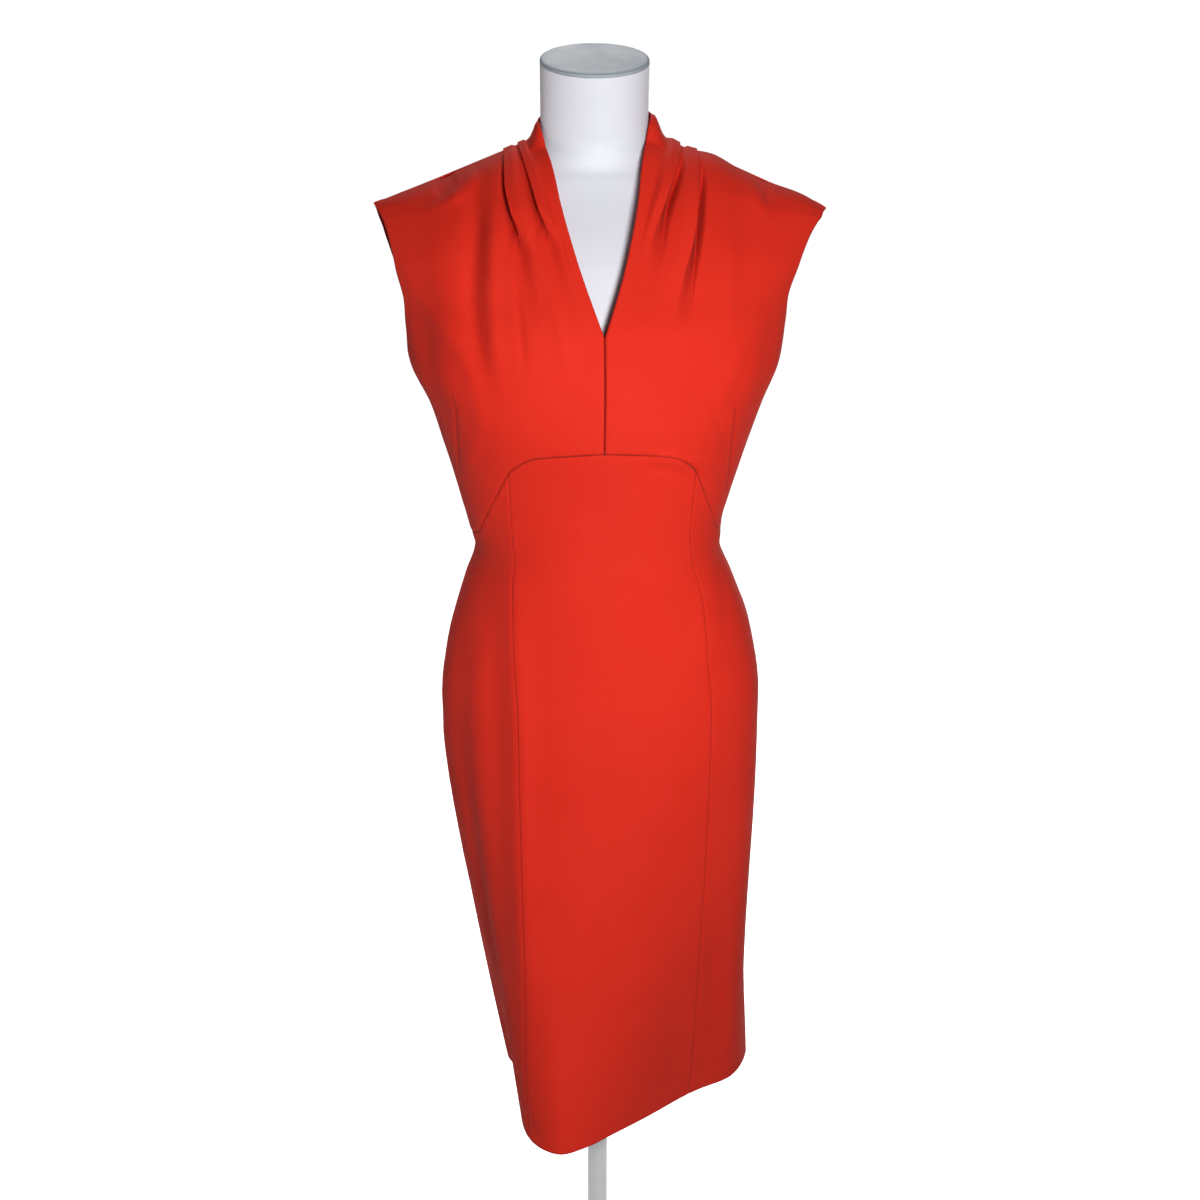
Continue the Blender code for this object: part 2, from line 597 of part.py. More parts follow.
def back_grid(side):
    """(outer, inner, neck) of a back bodice half; neck holds its neck seam's points, shoulder last."""
    plan = [(rising_row(part), UNDERARM) for part in np.linspace(0, 1, LOWER_ROWS + 1)]
    plan += [(flat_row(level), level) for level in (*BACK_LEVELS, *neck_levels(side))]
    rows, neck = [], []
    for level_of, level in plan:
        distances, angles, points = along_row(level_of, 180 * side, 90 * side)
        start = SEAM_GAP / 2
        if level >= BACK_NECK:
            x = points[:, 0] / (COLLAR_BASE_HALF + SEAM_GAP)
            y = (points[:, 1] - SHOULDER_Y) / (COLLAR_BASE_DEPTH + SEAM_GAP)
            start = max(start, where_crossed(distances, np.hypot(x, y) - 1))
            neck.append([np.interp(start, distances, points[:, k]) for k in range(3)])
        stop = distances[-1] - armhole_cut(level, 2)
        at = np.interp(np.linspace(start, stop, BACK_COLUMNS + 1), distances, angles)
        rows.append((level_of(at), at))
    outer, inner = plain_grid(rows)
    outer[-1, :, 1] = SHOULDER_Y + SEAM_GAP / 2
    facing = (outer - inner) / WALL
    facing[-1, :, 1] = 0
    facing /= np.linalg.norm(facing, axis=-1, keepdims=True)
    return outer, outer - WALL * facing, np.array(neck)


def collar_grid(front_outer, front_inner, neck, side):
    """The grown-on band behind the shoulder seam, from the front's own top row round to the centre back."""
    top_row = front_outer[-1, :NECK_STATIONS]
    outer = [top_row]
    share = np.linspace(0, 1, NECK_STATIONS)
    for k, seam in enumerate(neck[-2::-1], 1):
        part = k / (len(neck) - 1)
        turn = math.radians(90) * part
        base = seam + np.array([0, 0, 0.2])
        inward = np.array([-base[0], SHOULDER_Y - base[1], 0])
        base = base + inward / np.linalg.norm(inward) * SEAM_GAP
        top = np.array([
            top_row[0, 0] * math.cos(turn),
            top_row[0, 1] + COLLAR_TOP_DEPTH * math.sin(turn),
            top_row[0, 2] + (COLLAR_BACK_HEIGHT - top_row[0, 2]) * ease(part),
        ])
        row = top + (base - top) * share[:, None]
        bow = 1.5 * np.sin(math.pi * share)[:, None]
        row = row + bow * inward / np.linalg.norm(inward)
        row[:, 0] = side * np.maximum(side * row[:, 0], SEAM_GAP / 2)
        outer.append(row)
    outer = np.array(outer)
    facing = grid_normals(outer, outer - np.array([0, 10, 1490]))
    facing[-1, :, 0] = 0
    facing /= np.linalg.norm(facing, axis=-1, keepdims=True)
    inner = outer - WALL * facing
    inner[0] = front_inner[-1, :NECK_STATIONS]
    return outer, inner


def build_bodice(material):
    """Builds the bodice's pieces, and returns the points of the band's centre back edge, top first."""
    for side, hand in ((-1, "right"), (1, "left")):
        outer, inner = front_grid(side)
        back_outer, back_inner, neck = back_grid(side)
        collar = collar_grid(outer, inner, neck, side)
        wall(f"front_bodice_{hand}", [(outer, inner), collar], material)
        wall(f"back_bodice_{hand}", [(back_outer, back_inner)], material)
    return collar[0][-1]


# ---------------------------------------------------------------- form and stand
def slice_points(row, count):
    height, half, front, back, middle_x, middle_y, square, rise = row
    turn = np.radians(np.arange(count) * 360 / count)
    depth = np.where(np.cos(turn) >= 0, front, back)
    x = middle_x + half * signed_power(np.sin(turn), 2 / square)
    y = middle_y - depth * signed_power(np.cos(turn), 2 / square)
    return np.stack([x, y, height + rise * (y - middle_y)], -1)


def lofted(name, slices, material, count=FORM_SIDES):
    """A closed body through level slices, with flat ends."""
    bm = bmesh.new()
    rings = []
    for points in slices:
        rings.append([bm.verts.new(Vector(point * MM)) for point in points])
    for low, high in zip(rings, rings[1:]):
        for k in range(count):
            after = (k + 1) % count
            bm.faces.new((low[k], low[after], high[after], high[k]))
    bm.faces.new(reversed(rings[0]))
    bm.faces.new(rings[-1])
    if bm.calc_volume(signed=True) < 0:
        bmesh.ops.reverse_faces(bm, faces=bm.faces[:])
    return finish(name, bm, material)


def form_slices(heights):
    knots = column(FORM_SLICES, FORM_COLUMNS, "height")
    values = [smooth(heights, knots, column(FORM_SLICES, FORM_COLUMNS, name)) for name in FORM_COLUMNS[1:]]
    return [(height, *row) for height, row in zip(heights, np.array(values).T)]


def build_form(cover, cap_material):
    knots = column(FORM_SLICES, FORM_COLUMNS, "height")
    rows = form_slices(knots)
    lofted("form_torso", [slice_points(row, FORM_SIDES) for row in rows], cover)
    top = rows[-1]
    low = (top[0] + SEAM_GAP, *top[1:])
    rim = (top[0] + CAP_THICKNESS * 0.6, *top[1:])
    crown = (top[0] + CAP_THICKNESS, top[1] - 3, top[2] - 3, top[3] - 3, *top[4:])
    lofted("form_neck_cap", [slice_points(row, FORM_SIDES) for row in (low, rim, crown)], cap_material)


def turned(name, profile, material, segments=40):
    """A solid turned about the stand's axis from (radius, height) pairs in mm, bottom first, on the axis at both ends."""
    bm = bmesh.new()
    verts = [bm.verts.new((radius * MM, 0, height * MM)) for radius, height in profile]
    edges = [bm.edges.new(pair) for pair in zip(verts, verts[1:])]
    bmesh.ops.spin(
        bm, geom=verts + edges, axis=(0, 0, 1), cent=(0, 0, 0), angle=2 * math.pi, steps=segments, use_merge=True,
    )
    bmesh.ops.remove_doubles(bm, verts=bm.verts[:], dist=1e-6)
    bmesh.ops.recalc_face_normals(bm, faces=bm.faces[:])
    if bm.calc_volume(signed=True) < 0:
        bmesh.ops.reverse_faces(bm, faces=bm.faces[:])
    return finish(name, bm, material)


def build_stand(material):
    hub = POLE_RADIUS + 12
    turned("form_base", [
        (0, 0), (BASE_RADIUS - 3, 0), (BASE_RADIUS, 3), (BASE_RADIUS, BASE_THICKNESS - 4),
        (BASE_RADIUS - 4, BASE_THICKNESS), (hub + 4, BASE_THICKNESS + 2), (hub, BASE_THICKNESS + 6),
        (hub - 3, BASE_THICKNESS + 26), (hub - 6, BASE_THICKNESS + 28), (0, BASE_THICKNESS + 28),
    ], material)
    bottom = BASE_THICKNESS + 28 + SEAM_GAP
    top = 868 - SEAM_GAP
    turned("form_pole", [
        (0, bottom), (POLE_RADIUS, bottom), (POLE_RADIUS, top - 34), (POLE_RADIUS + 5, top - 30),
        (POLE_RADIUS + 5, top - 5), (POLE_RADIUS + 24, top - 3), (POLE_RADIUS + 24, top), (0, top),
    ], material, segments=32)


# ---------------------------------------------------------------- zip
def zip_place(collar_edge):
    """A function that places (across, along, out) from the middle of the zip's slider, on the centre back edge."""
    high, low = collar_edge[1], collar_edge[2]
    down = (low - high) * (0, 1, 1)
    down /= np.linalg.norm(down)
    out = np.array([0, -down[2], down[1]])
    middle = (high + low) / 2 * (0, 1, 1) + out * (SEAM_GAP + SLIDER[2] / 2)
    return lambda across, along, away: middle + np.array([across, 0, 0]) + down * along + out * away


def plate(name, place, rings, thickness, material):
    """A flat ring between an outer and an inner outline of (across, along) points, with its origin at (0, 0)."""
    origin = Vector(place(0, 0, 0) * MM)
    bm = bmesh.new()
    faces = []
    for away in (-thickness / 2, thickness / 2):
        faces.append([[bm.verts.new(Vector(place(*at, away) * MM) - origin) for at in ring] for ring in rings])
    (low_out, low_in), (high_out, high_in) = faces
    for k in range(len(low_out)):
        after = (k + 1) % len(low_out)
        bm.faces.new((high_out[k], high_out[after], high_in[after], high_in[k]))
        bm.faces.new((low_in[k], low_in[after], low_out[after], low_out[k]))
        bm.faces.new((low_out[k], low_out[after], high_out[after], high_out[k]))
        bm.faces.new((high_in[k], high_in[after], low_in[after], low_in[k]))
    if bm.calc_volume(signed=True) < 0:
        bmesh.ops.reverse_faces(bm, faces=bm.faces[:])
    finish(name, bm, material).location = origin


def build_slider(place, material):
    bm = bmesh.new()
    bmesh.ops.create_cube(bm, size=1)
    bmesh.ops.scale(bm, verts=bm.verts[:], vec=SLIDER)
    bmesh.ops.bevel(bm, geom=bm.edges[:], offset=0.6, segments=2, profile=0.5, affect="EDGES")
    for vert in bm.verts:
        vert.co = Vector(place(*vert.co) * MM)
    if bm.calc_volume(signed=True) < 0:
        bmesh.ops.reverse_faces(bm, faces=bm.faces[:])
    slider = finish("zip_slider", bm, material)
    bm = bmesh.new()
    first = bm.faces.new([bm.verts.new(Vector(place(-CROWN_WIDTH / 2, *at) * MM)) for at in CROWN])
    made = bmesh.ops.extrude_face_region(bm, geom=[first])["geom"]
    moved = [item for item in made if isinstance(item, bmesh.types.BMVert)]
    bmesh.ops.translate(bm, verts=moved, vec=(CROWN_WIDTH * MM, 0, 0))
    if bm.calc_volume(signed=True) < 0:
        bmesh.ops.reverse_faces(bm, faces=bm.faces[:])
    crown = finish("crown_cutter", bm, material)
    crown.hide_render = True
    crown.display_type = "WIRE"
    join = slider.modifiers.new("crown", "BOOLEAN")
    join.operation = "UNION"
    join.solver = "EXACT"
    join.object = crown


def build_zip(collar_edge, material):
    place = zip_place(collar_edge)
    build_slider(place, material)
    tilt = math.radians(PULL_TILT)
    along, away = PULL_HINGE

    def on_pull(x, v, n):
        return place(x, along + v * math.cos(tilt) + n * math.sin(tilt), away - v * math.sin(tilt) + n * math.cos(tilt))

    rings = []
    for part in (0, 1):
        half = [pair[part] for pair in PULL_HALF]
        rings.append(half + [(-x, v) for x, v in half[-2:0:-1]])
    plate("zip_pull", on_pull, rings, PULL_THICKNESS, material)


# ---------------------------------------------------------------- materials
def finish_material(name, color, roughness, metallic=0.0):
    material = bpy.data.materials.new(name)
    material.use_nodes = True
    shader = material.node_tree.nodes["Principled BSDF"]
    shader.inputs["Base Color"].default_value = (*color, 1)
    shader.inputs["Roughness"].default_value = roughness
    shader.inputs["Metallic"].default_value = metallic
    return material


def main():
    for obj in list(bpy.data.objects):
        bpy.data.objects.remove(obj)
    crepe = finish_material("crepe", RED, 0.85)
    build_skirt(crepe)
    zip_edge = build_bodice(crepe)
    build_zip(zip_edge, finish_material("zip_metal", NICKEL, 0.3, metallic=1.0))
    build_form(finish_material("form_cover", WHITE, 0.5), finish_material("form_cap", PALE_GREY, 0.55))
    build_stand(finish_material("stand_paint", STEEL_WHITE, 0.35))


main()
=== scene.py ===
"""The looks of a pleated sheath dress on a limbless dress form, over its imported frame.

Metres, +Z up, with the tables in millimetres and degrees. The dress faces -Y and the wearer's right is at
-X. A place on the cloth is a level, which is its ring's height on the centre line, and a cloth angle, 0 at
the centre front and 90 at the wearer's left side.
"""

import logging
import math
from collections.abc import Callable
from dataclasses import dataclass
from enum import Enum

import bmesh
import bpy
import numpy as np
from mathutils import Matrix, Vector


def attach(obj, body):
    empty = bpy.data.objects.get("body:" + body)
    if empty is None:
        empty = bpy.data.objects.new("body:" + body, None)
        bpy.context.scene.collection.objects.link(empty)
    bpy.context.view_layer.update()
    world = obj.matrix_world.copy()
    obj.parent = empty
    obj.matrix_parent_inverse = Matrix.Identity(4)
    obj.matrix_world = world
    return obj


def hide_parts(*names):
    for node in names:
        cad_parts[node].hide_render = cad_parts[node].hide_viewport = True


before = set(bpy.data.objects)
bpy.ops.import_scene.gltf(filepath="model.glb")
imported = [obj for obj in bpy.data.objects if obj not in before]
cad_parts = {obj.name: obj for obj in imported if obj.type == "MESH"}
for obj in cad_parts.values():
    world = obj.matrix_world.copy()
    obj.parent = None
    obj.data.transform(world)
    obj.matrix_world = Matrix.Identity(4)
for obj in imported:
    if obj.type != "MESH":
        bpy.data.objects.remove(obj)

log = logging.getLogger("dress")

MM = 0.001
BODY = "dress_and_form"
# The width of the painted shade along a crease's sewn line, in mm.
CREASE_SHADE_WIDTH = 0.8
BODY_AXIS = (0, 5, 0)
Array = np.ndarray
Curve = Callable[[Array], Array]


class Side(Enum):
    """A half of the dress, as the wearer has it, with the sign of its X."""

    RIGHT = -1
    LEFT = 1


class Rim(Enum):
    """How an edge of a panel is finished."""

    SEAM = "seam"
    TURNED = "turned"
    HEM = "hem"
    ZIP = "zip"


# ---------------------------------------------------------------- tables and curves
@dataclass(frozen=True)
class Table:
    """Rows of numbers under named columns, of which the first holds the places that the others are read at."""

    columns: str
    rows: tuple[tuple[float, ...], ...]

    def column(self, name: str) -> Array:
        """The numbers of one column."""
        place = self.columns.split().index(name)
        return np.array([row[place] for row in self.rows], float)

    def read(self, at: Array | float) -> dict[str, Array]:
        """Reads the table by smooth curves.

        Args:
            at: where it is read, in terms of the first column.

        Returns:
            The other columns there, by name.
        """
        first, *names = self.columns.split()
        knots = self.column(first)
        return {name: smooth(at, knots, self.column(name)) for name in names}


@dataclass(frozen=True)
class SoftFold:
    """A soft fold down the cloth: where it runs, how wide it is and how far it stands out."""

    angle_top: float
    angle_bottom: float
    width: float
    depth: float
    top: float
    peak: float
    bottom: float


@dataclass(frozen=True)
class Crease:
    """A crease along (x, z) points of one face of the dress, out by depth, and narrow or wide."""

    points: tuple[tuple[float, float], ...]
    depth: float
    width: float
    # line: how dark the painted shade along the crease's sewn line is.
    line: float = 0.0

    @classmethod
    def rows(cls, *rows: tuple[float, ...], mirror: int = 1) -> tuple["Crease", ...]:
        """Reads creases from rows.

        Args:
            rows: each a depth, a width and the strength of its painted shade line, and then the points' x and z in
                turn.
            mirror: the sign that every x is multiplied by.

        Returns:
            A crease for each row.
        """
        return tuple(
            cls(tuple((mirror * x, z) for x, z in zip(row[3::2], row[4::2])), *row[:3]) for row in rows
        )

    def height(self, places: Array) -> tuple[Array, Array]:
        """How far the crease lifts the cloth.

        Args:
            places: (..., 3) points on the cloth, in mm.

        Returns:
            The heights, in mm, tapering off at the crease's two ends, and the painted shade along its sewn line.
        """
        line = np.array(self.points, float)
        spans = np.linalg.norm(np.diff(line, axis=0), axis=1)
        starts = np.concatenate([[0], np.cumsum(spans)])
        at = places[..., [0, 2]]
        nearest = np.full(at.shape[:-1], 1e9)
        run = np.zeros(at.shape[:-1])
        for k, span in enumerate(spans):
            way = (line[k + 1] - line[k]) / span
            along = np.clip(((at - line[k]) * way).sum(-1), 0, span)
            away = np.linalg.norm(at - line[k] - along[..., None] * way, axis=-1)
            closer = away < nearest
            nearest = np.where(closer, away, nearest)
            run = np.where(closer, starts[k] + along, run)
        part = run / starts[-1]
        taper = ease(part / 0.3) * ease((1 - part) / 0.3)
        height = self.depth * (0.15 + 0.85 * taper) * bell(nearest, self.width)
        # Painted shade along the sewn line, which only the darts have.
        return height, self.line * ease((1 - part) / 0.1) * bell(nearest, CREASE_SHADE_WIDTH)


@dataclass(frozen=True)
class Pleat:
    """A knife pleat: its fold edge's distance from the centre at four levels, its end and its lap.

    It stands open by opening, over a trench, most at its peak level. From there its fold fades within fold_share
    of the way to its end, while the hollow beyond its edge, hollow_at from it, grows wider by widening. shade is
    how strongly painted shade darkens the cloth under the fold.
    """

    side: Side
    at_bust: float
    at_chest: float
    at_yoke: float
    at_shoulder: float
    end: float
    lap: float
    opening: float
    trench: float
    peak: float
    fold_share: float
    hollow_at: float
    widening: float
    shade: float


def ease(t: Array | float) -> Array:
    """A smooth step from 0 to 1."""
    t = np.clip(t, 0, 1)
    return t * t * (3 - 2 * t)


def cubic(t: Array, gap: Array, values: tuple[Array, Array], slopes: tuple[Array, Array]) -> Array:
    """The cubic between two values with a slope at each.

    Args:
        t: how far over the gap it is read, from 0 to 1.
        gap: the distance between the values' places.
        values: the two values.
        slopes: the slope at each.

    Returns:
        The curve there.
    """
    return (
        values[0] * (1 + 2 * t) * (1 - t) ** 2
        + values[1] * t * t * (3 - 2 * t)
        + gap * (slopes[0] * t * (1 - t) ** 2 - slopes[1] * t * t * (1 - t))
    )


def smooth(at: Array | float, knots: Array, values: Array) -> Array:
    """A cubic through values that never swings past them.

    Args:
        at: where it is read.
        knots: where the values stand, rising.
        values: the values.

    Returns:
        The curve at those places; it runs on straight beyond the ends.
    """
    at = np.asarray(at, float)
    knots, values = np.asarray(knots, float), np.asarray(values, float)
    gaps = np.diff(knots)
    rises = np.diff(values) / gaps
    slopes = np.concatenate([[rises[0]], np.zeros(len(rises) - 1), [rises[-1]]])
    same_way = rises[:-1] * rises[1:] > 0
    total = np.where(same_way, rises[:-1] + rises[1:], 1)
    slopes[1:-1] = np.where(same_way, 2 * rises[:-1] * rises[1:] / total, 0)
    inside = np.clip(at, knots[0], knots[-1])
    i = np.clip(np.searchsorted(knots, inside, side="right") - 1, 0, len(gaps) - 1)
    t = (inside - knots[i]) / gaps[i]
    curve = cubic(t, gaps[i], (values[i], values[i + 1]), (slopes[i], slopes[i + 1]))
    over = at - inside
    return curve + over * np.where(over > 0, slopes[-1], slopes[0])


def lookup(pairs: tuple, at: Array | float, value: int = 1) -> Array:
    """Reads a table of rows that start with their knot, by the value at that place in each row."""
    return smooth(at, np.array([row[0] for row in pairs]), np.array([row[value] for row in pairs]))


def round_curve(angle: Array, knots: Array, values: Array) -> Array:
    """A closed cubic through values.

    Args:
        angle: where it is read, in degrees.
        knots: the angles of the values, rising from 0.
        values: the values.

    Returns:
        The curve at those angles.
    """
    turn = 360.0
    long_knots = np.concatenate([knots[-2:] - turn, knots, knots[:3] + turn])
    long_values = np.concatenate([values[-2:], values, values[:3]])
    at = np.mod(angle, turn)
    i = np.searchsorted(long_knots, at, side="right") - 1
    k0, k1, k2, k3 = (long_knots[i + n] for n in (-1, 0, 1, 2))
    v0, v1, v2, v3 = (long_values[i + n] for n in (-1, 0, 1, 2))
    slopes = (v2 - v0) / (k2 - k0), (v3 - v1) / (k3 - k1)
    return cubic((at - k1) / (k2 - k1), k2 - k1, (v1, v2), slopes)


def bell(offset: Array, width: float) -> Array:
    """A bump that is 1 where the offset is 0 and falls off over the width."""
    return np.exp(-((offset / width) ** 2))


def signed_power(value: Array, power: Array | float) -> Array:
    """A power of the size of a value, with its sign kept."""
    return np.sign(value) * np.abs(value) ** power


def spread(count: int, crowding: float) -> Array:
    """Fractions from 0 to 1 that stand closer together towards both ends."""
    even = np.linspace(0, 1, count + 1)
    return even - crowding * np.sin(2 * math.pi * even) / (2 * math.pi)


def unit(vectors: Array) -> Array:
    """The vectors at length 1."""
    return vectors / np.linalg.norm(vectors, axis=-1, keepdims=True)


def run_along(points: Array) -> Array:
    """The distance to each point along the line through all of them."""
    return np.concatenate([[0], np.cumsum(np.linalg.norm(np.diff(points, axis=0), axis=1))])


def point_at(at: float, run: Array, points: Array) -> Array:
    """The point that lies this far along a line of points."""
    return np.array([np.interp(at, run, points[:, axis]) for axis in range(3)])


def where_crossed(distances: Array, values: Array) -> float:
    """Finds where values first pass zero upwards.

    Args:
        distances: distances along a row, rising.
        values: a value at each.

    Returns:
        The distance; the row's start where they already have passed it, and its end where they never do.
    """
    over = np.flatnonzero(values > 0)
    if len(over) == 0:
        return float(distances[-1])
    k = over[0]
    if k == 0:
        return float(distances[0])
    part = -values[k - 1] / (values[k] - values[k - 1])
    return float(distances[k - 1] + part * (distances[k] - distances[k - 1]))


# ---------------------------------------------------------------- shader nodes
@dataclass
class Graph:
    """A node tree, with short ways to add nodes and link them."""

    tree: bpy.types.NodeTree

    def add(self, kind: str, inputs: dict | None = None, **settings: object) -> bpy.types.Node:
        """Adds a node.

        Args:
            kind: the node's type.
            inputs: a value or an output socket for each named or numbered input.
            settings: the node's own settings.

        Returns:
            The node.
        """
        node = self.tree.nodes.new(kind)
        for name, value in settings.items():
            setattr(node, name, value)
        self.feed(node, inputs or {})
        return node

    def feed(self, node: bpy.types.Node, inputs: dict) -> None:
        """Sets or links inputs of a node.

        Args:
            node: the node.
            inputs: a value or an output socket for each named or numbered input.
        """
        for name, value in inputs.items():
            if isinstance(value, bpy.types.NodeSocket):
                self.tree.links.new(value, node.inputs[name])
            else:
                node.inputs[name].default_value = value

    def math(self, operation: str, *values: object) -> bpy.types.NodeSocket:
        """The output of a Math node on these values or sockets."""
        return self.add("ShaderNodeMath", dict(enumerate(values)), operation=operation).outputs[0]

    def mix(self, factor: object, first: object, second: object) -> bpy.types.NodeSocket:
        """The colour output of a Mix node."""
        node = self.add("ShaderNodeMix", {0: factor, 6: first, 7: second}, data_type="RGBA")
        return node.outputs[2]

    def ramp(self, value: object, low: float, high: float) -> bpy.types.NodeSocket:
        """A value stretched so that low becomes 0 and high becomes 1, and clamped."""
        node = self.add("ShaderNodeMapRange", {"Value": value, "From Min": low, "From Max": high})
        return node.outputs["Result"]

    def bump(self, inputs: dict) -> bpy.types.NodeSocket:
        """The normals of a Bump node with these inputs."""
        return self.add("ShaderNodeBump", inputs).outputs[0]

    def noise(self, vector: object, scale: object, detail: float = 2.0) -> bpy.types.NodeSocket:
        """The value of a noise texture on these coordinates."""
        return self.add("ShaderNodeTexNoise", {"Vector": vector, "Scale": scale, "Detail": detail}).outputs[0]


def shared_group(name: str, inputs: tuple[str, ...], output: str) -> tuple[bpy.types.NodeTree, Graph, dict]:
    """A new node group with a Vector input, named value inputs and one value output.

    Args:
        name: the group's name.
        inputs: its value inputs.
        output: its output.

    Returns:
        The group, its graph, and the sockets inside it by name, with the output's under its own name.
    """
    group = bpy.data.node_groups.new(name, "ShaderNodeTree")
    group.interface.new_socket("Vector", in_out="INPUT", socket_type="NodeSocketVector")
    for text in inputs:
        group.interface.new_socket(text, in_out="INPUT", socket_type="NodeSocketFloat")
    group.interface.new_socket(output, in_out="OUTPUT", socket_type="NodeSocketFloat")
    graph = Graph(group)
    start, end = graph.add("NodeGroupInput"), graph.add("NodeGroupOutput")
    sockets = {text: start.outputs[text] for text in ("Vector", *inputs)}
    return group, graph, sockets | {output: end.inputs[output]}


def grain_group() -> bpy.types.NodeTree:
    """The pebbled grain of a crepe or a fine knit, as a height from 0 to 1.

    Returns:
        The group, with a Scale and a Height.
    """
    group, graph, at = shared_group("fine_grain", ("Scale",), "Height")
    pebbles = graph.add("ShaderNodeTexVoronoi", {"Vector": at["Vector"], "Scale": at["Scale"]})
    fuzz = graph.noise(at["Vector"], graph.math("MULTIPLY", at["Scale"], 2.3), 3.0)
    rounded = graph.math("SUBTRACT", 1.0, pebbles.outputs["Distance"])
    group.links.new(graph.math("MULTIPLY_ADD", fuzz, 0.5, rounded), at["Height"])
    return group


def mottle_group() -> bpy.types.NodeTree:
    """A soft, patchy unevenness, as a mask from 0 to 1 whose middle is 0.5.

    Returns:
        The group, with a Scale and a Mask.
    """
    group, graph, at = shared_group("soft_mottle", ("Scale",), "Mask")
    group.links.new(graph.ramp(graph.noise(at["Vector"], at["Scale"], 3.0), 0.3, 0.7), at["Mask"])
    return group


def speck_group() -> bpy.types.NodeTree:
    """Sparse small specks, as of lint or dust: a mask that is 1 on them.

    Returns:
        The group, with a Scale, a Size and a Mask.
    """
    group, graph, at = shared_group("specks", ("Scale", "Size"), "Mask")
    cells = graph.add("ShaderNodeTexVoronoi", {"Vector": at["Vector"], "Scale": at["Scale"]})
    chosen = graph.ramp(graph.noise(cells.outputs["Position"], 7.0, 0.0), 0.69, 0.7)
    close = graph.math("LESS_THAN", cells.outputs["Distance"], at["Size"])
    group.links.new(graph.math("MULTIPLY", chosen, close), at["Mask"])
    return group


class Effects:
    """The shared node groups, each built once."""

    made: dict[str, bpy.types.NodeTree] = {}

    @classmethod
    def use(cls, graph: Graph, build: Callable[[], bpy.types.NodeTree], **values: object) -> bpy.types.NodeSocket:
        """Places a shared group in a material.

        Args:
            graph: the material's graph.
            build: the function that makes the group.
            values: values or sockets for its inputs.

        Returns:
            The group's output.
        """
        if build.__name__ not in cls.made:
            cls.made[build.__name__] = build()
        return graph.add("ShaderNodeGroup", values, node_tree=cls.made[build.__name__]).outputs[0]


def new_material(
    name: str, **constants: float | tuple
) -> tuple[bpy.types.Material, Graph, bpy.types.Node, bpy.types.NodeSocket]:
    """A material with a Principled shader.

    Args:
        name: the material's name.
        constants: shader inputs by name, with underscores for spaces.

    Returns:
        The material, its graph, its shader node and the socket of the object coordinates.
    """
    material = bpy.data.materials.new(name)
    material.use_nodes = True
    shader = material.node_tree.nodes["Principled BSDF"]
    for text, value in constants.items():
        shader.inputs[text.replace("_", " ")].default_value = value
    graph = Graph(material.node_tree)
    return material, graph, shader, graph.add("ShaderNodeTexCoord").outputs["Object"]


@dataclass(frozen=True)
class Crepe:
    """Matte stretch crepe: a pebbled face, slightly uneven, with painted shade along its seams and darts and under
    its pleat folds.
    """

    name: str = "red_crepe"
    color: tuple = (0.70, 0.0230, 0.0085, 1)
    deep: tuple = (0.56, 0.0150, 0.0060, 1)
    # seam: the colour of the painted shade along seams, darts and under pleat folds
    seam: tuple = (0.26, 0.0060, 0.0030, 1)
    lint: tuple = (0.85, 0.55, 0.5, 1)
    mottle: float = 9.0
    mottle_share: float = 0.4
    pit_share: float = 0.35
    lint_scale: float = 38.0
    lint_size: float = 0.022
    lint_share: float = 0.7
    roughness: float = 0.78
    rough_range: float = 0.08
    grain: float = 1300.0
    grain_depth: float = 0.00022
    drape: float = 16.0
    drape_depth: float = 0.0030

    def material(self) -> bpy.types.Material:
        """Builds the material.

        Returns:
            The cloth's material.
        """
        material, graph, shader, here = new_material(
            self.name, Sheen_Weight=0.06, Sheen_Roughness=0.4, Sheen_Tint=(1.0, 0.42, 0.34, 1),
            Specular_IOR_Level=0.15,
        )
        mottle = Effects.use(graph, mottle_group, Vector=here, Scale=self.mottle)
        grain = Effects.use(graph, grain_group, Vector=here, Scale=self.grain)
        pits = graph.ramp(grain, 1.1, 0.55)
        color = graph.mix(graph.math("MULTIPLY", mottle, self.mottle_share), self.color, self.deep)
        color = graph.mix(graph.math("MULTIPLY", pits, self.pit_share), color, self.deep)
        # Painted shade: the rim attribute mixes the seam colour in along seams, darts and under pleat folds.
        rim = graph.add("ShaderNodeAttribute", attribute_name="rim").outputs["Fac"]
        color = graph.mix(rim, color, self.seam)
        lint = Effects.use(graph, speck_group, Vector=here, Scale=self.lint_scale, Size=self.lint_size)
        color = graph.mix(graph.math("MULTIPLY", lint, self.lint_share), color, self.lint)
        rough = graph.math("MULTIPLY_ADD", mottle, self.rough_range, self.roughness)
        drape = graph.noise(here, self.drape)
        drape = graph.bump({"Height": drape, "Distance": self.drape_depth, "Strength": 0.5})
        bump = graph.bump({"Height": grain, "Distance": self.grain_depth, "Strength": 0.7, "Normal": drape})
        graph.feed(shader, {"Base Color": color, "Roughness": rough, "Normal": bump})
        return material


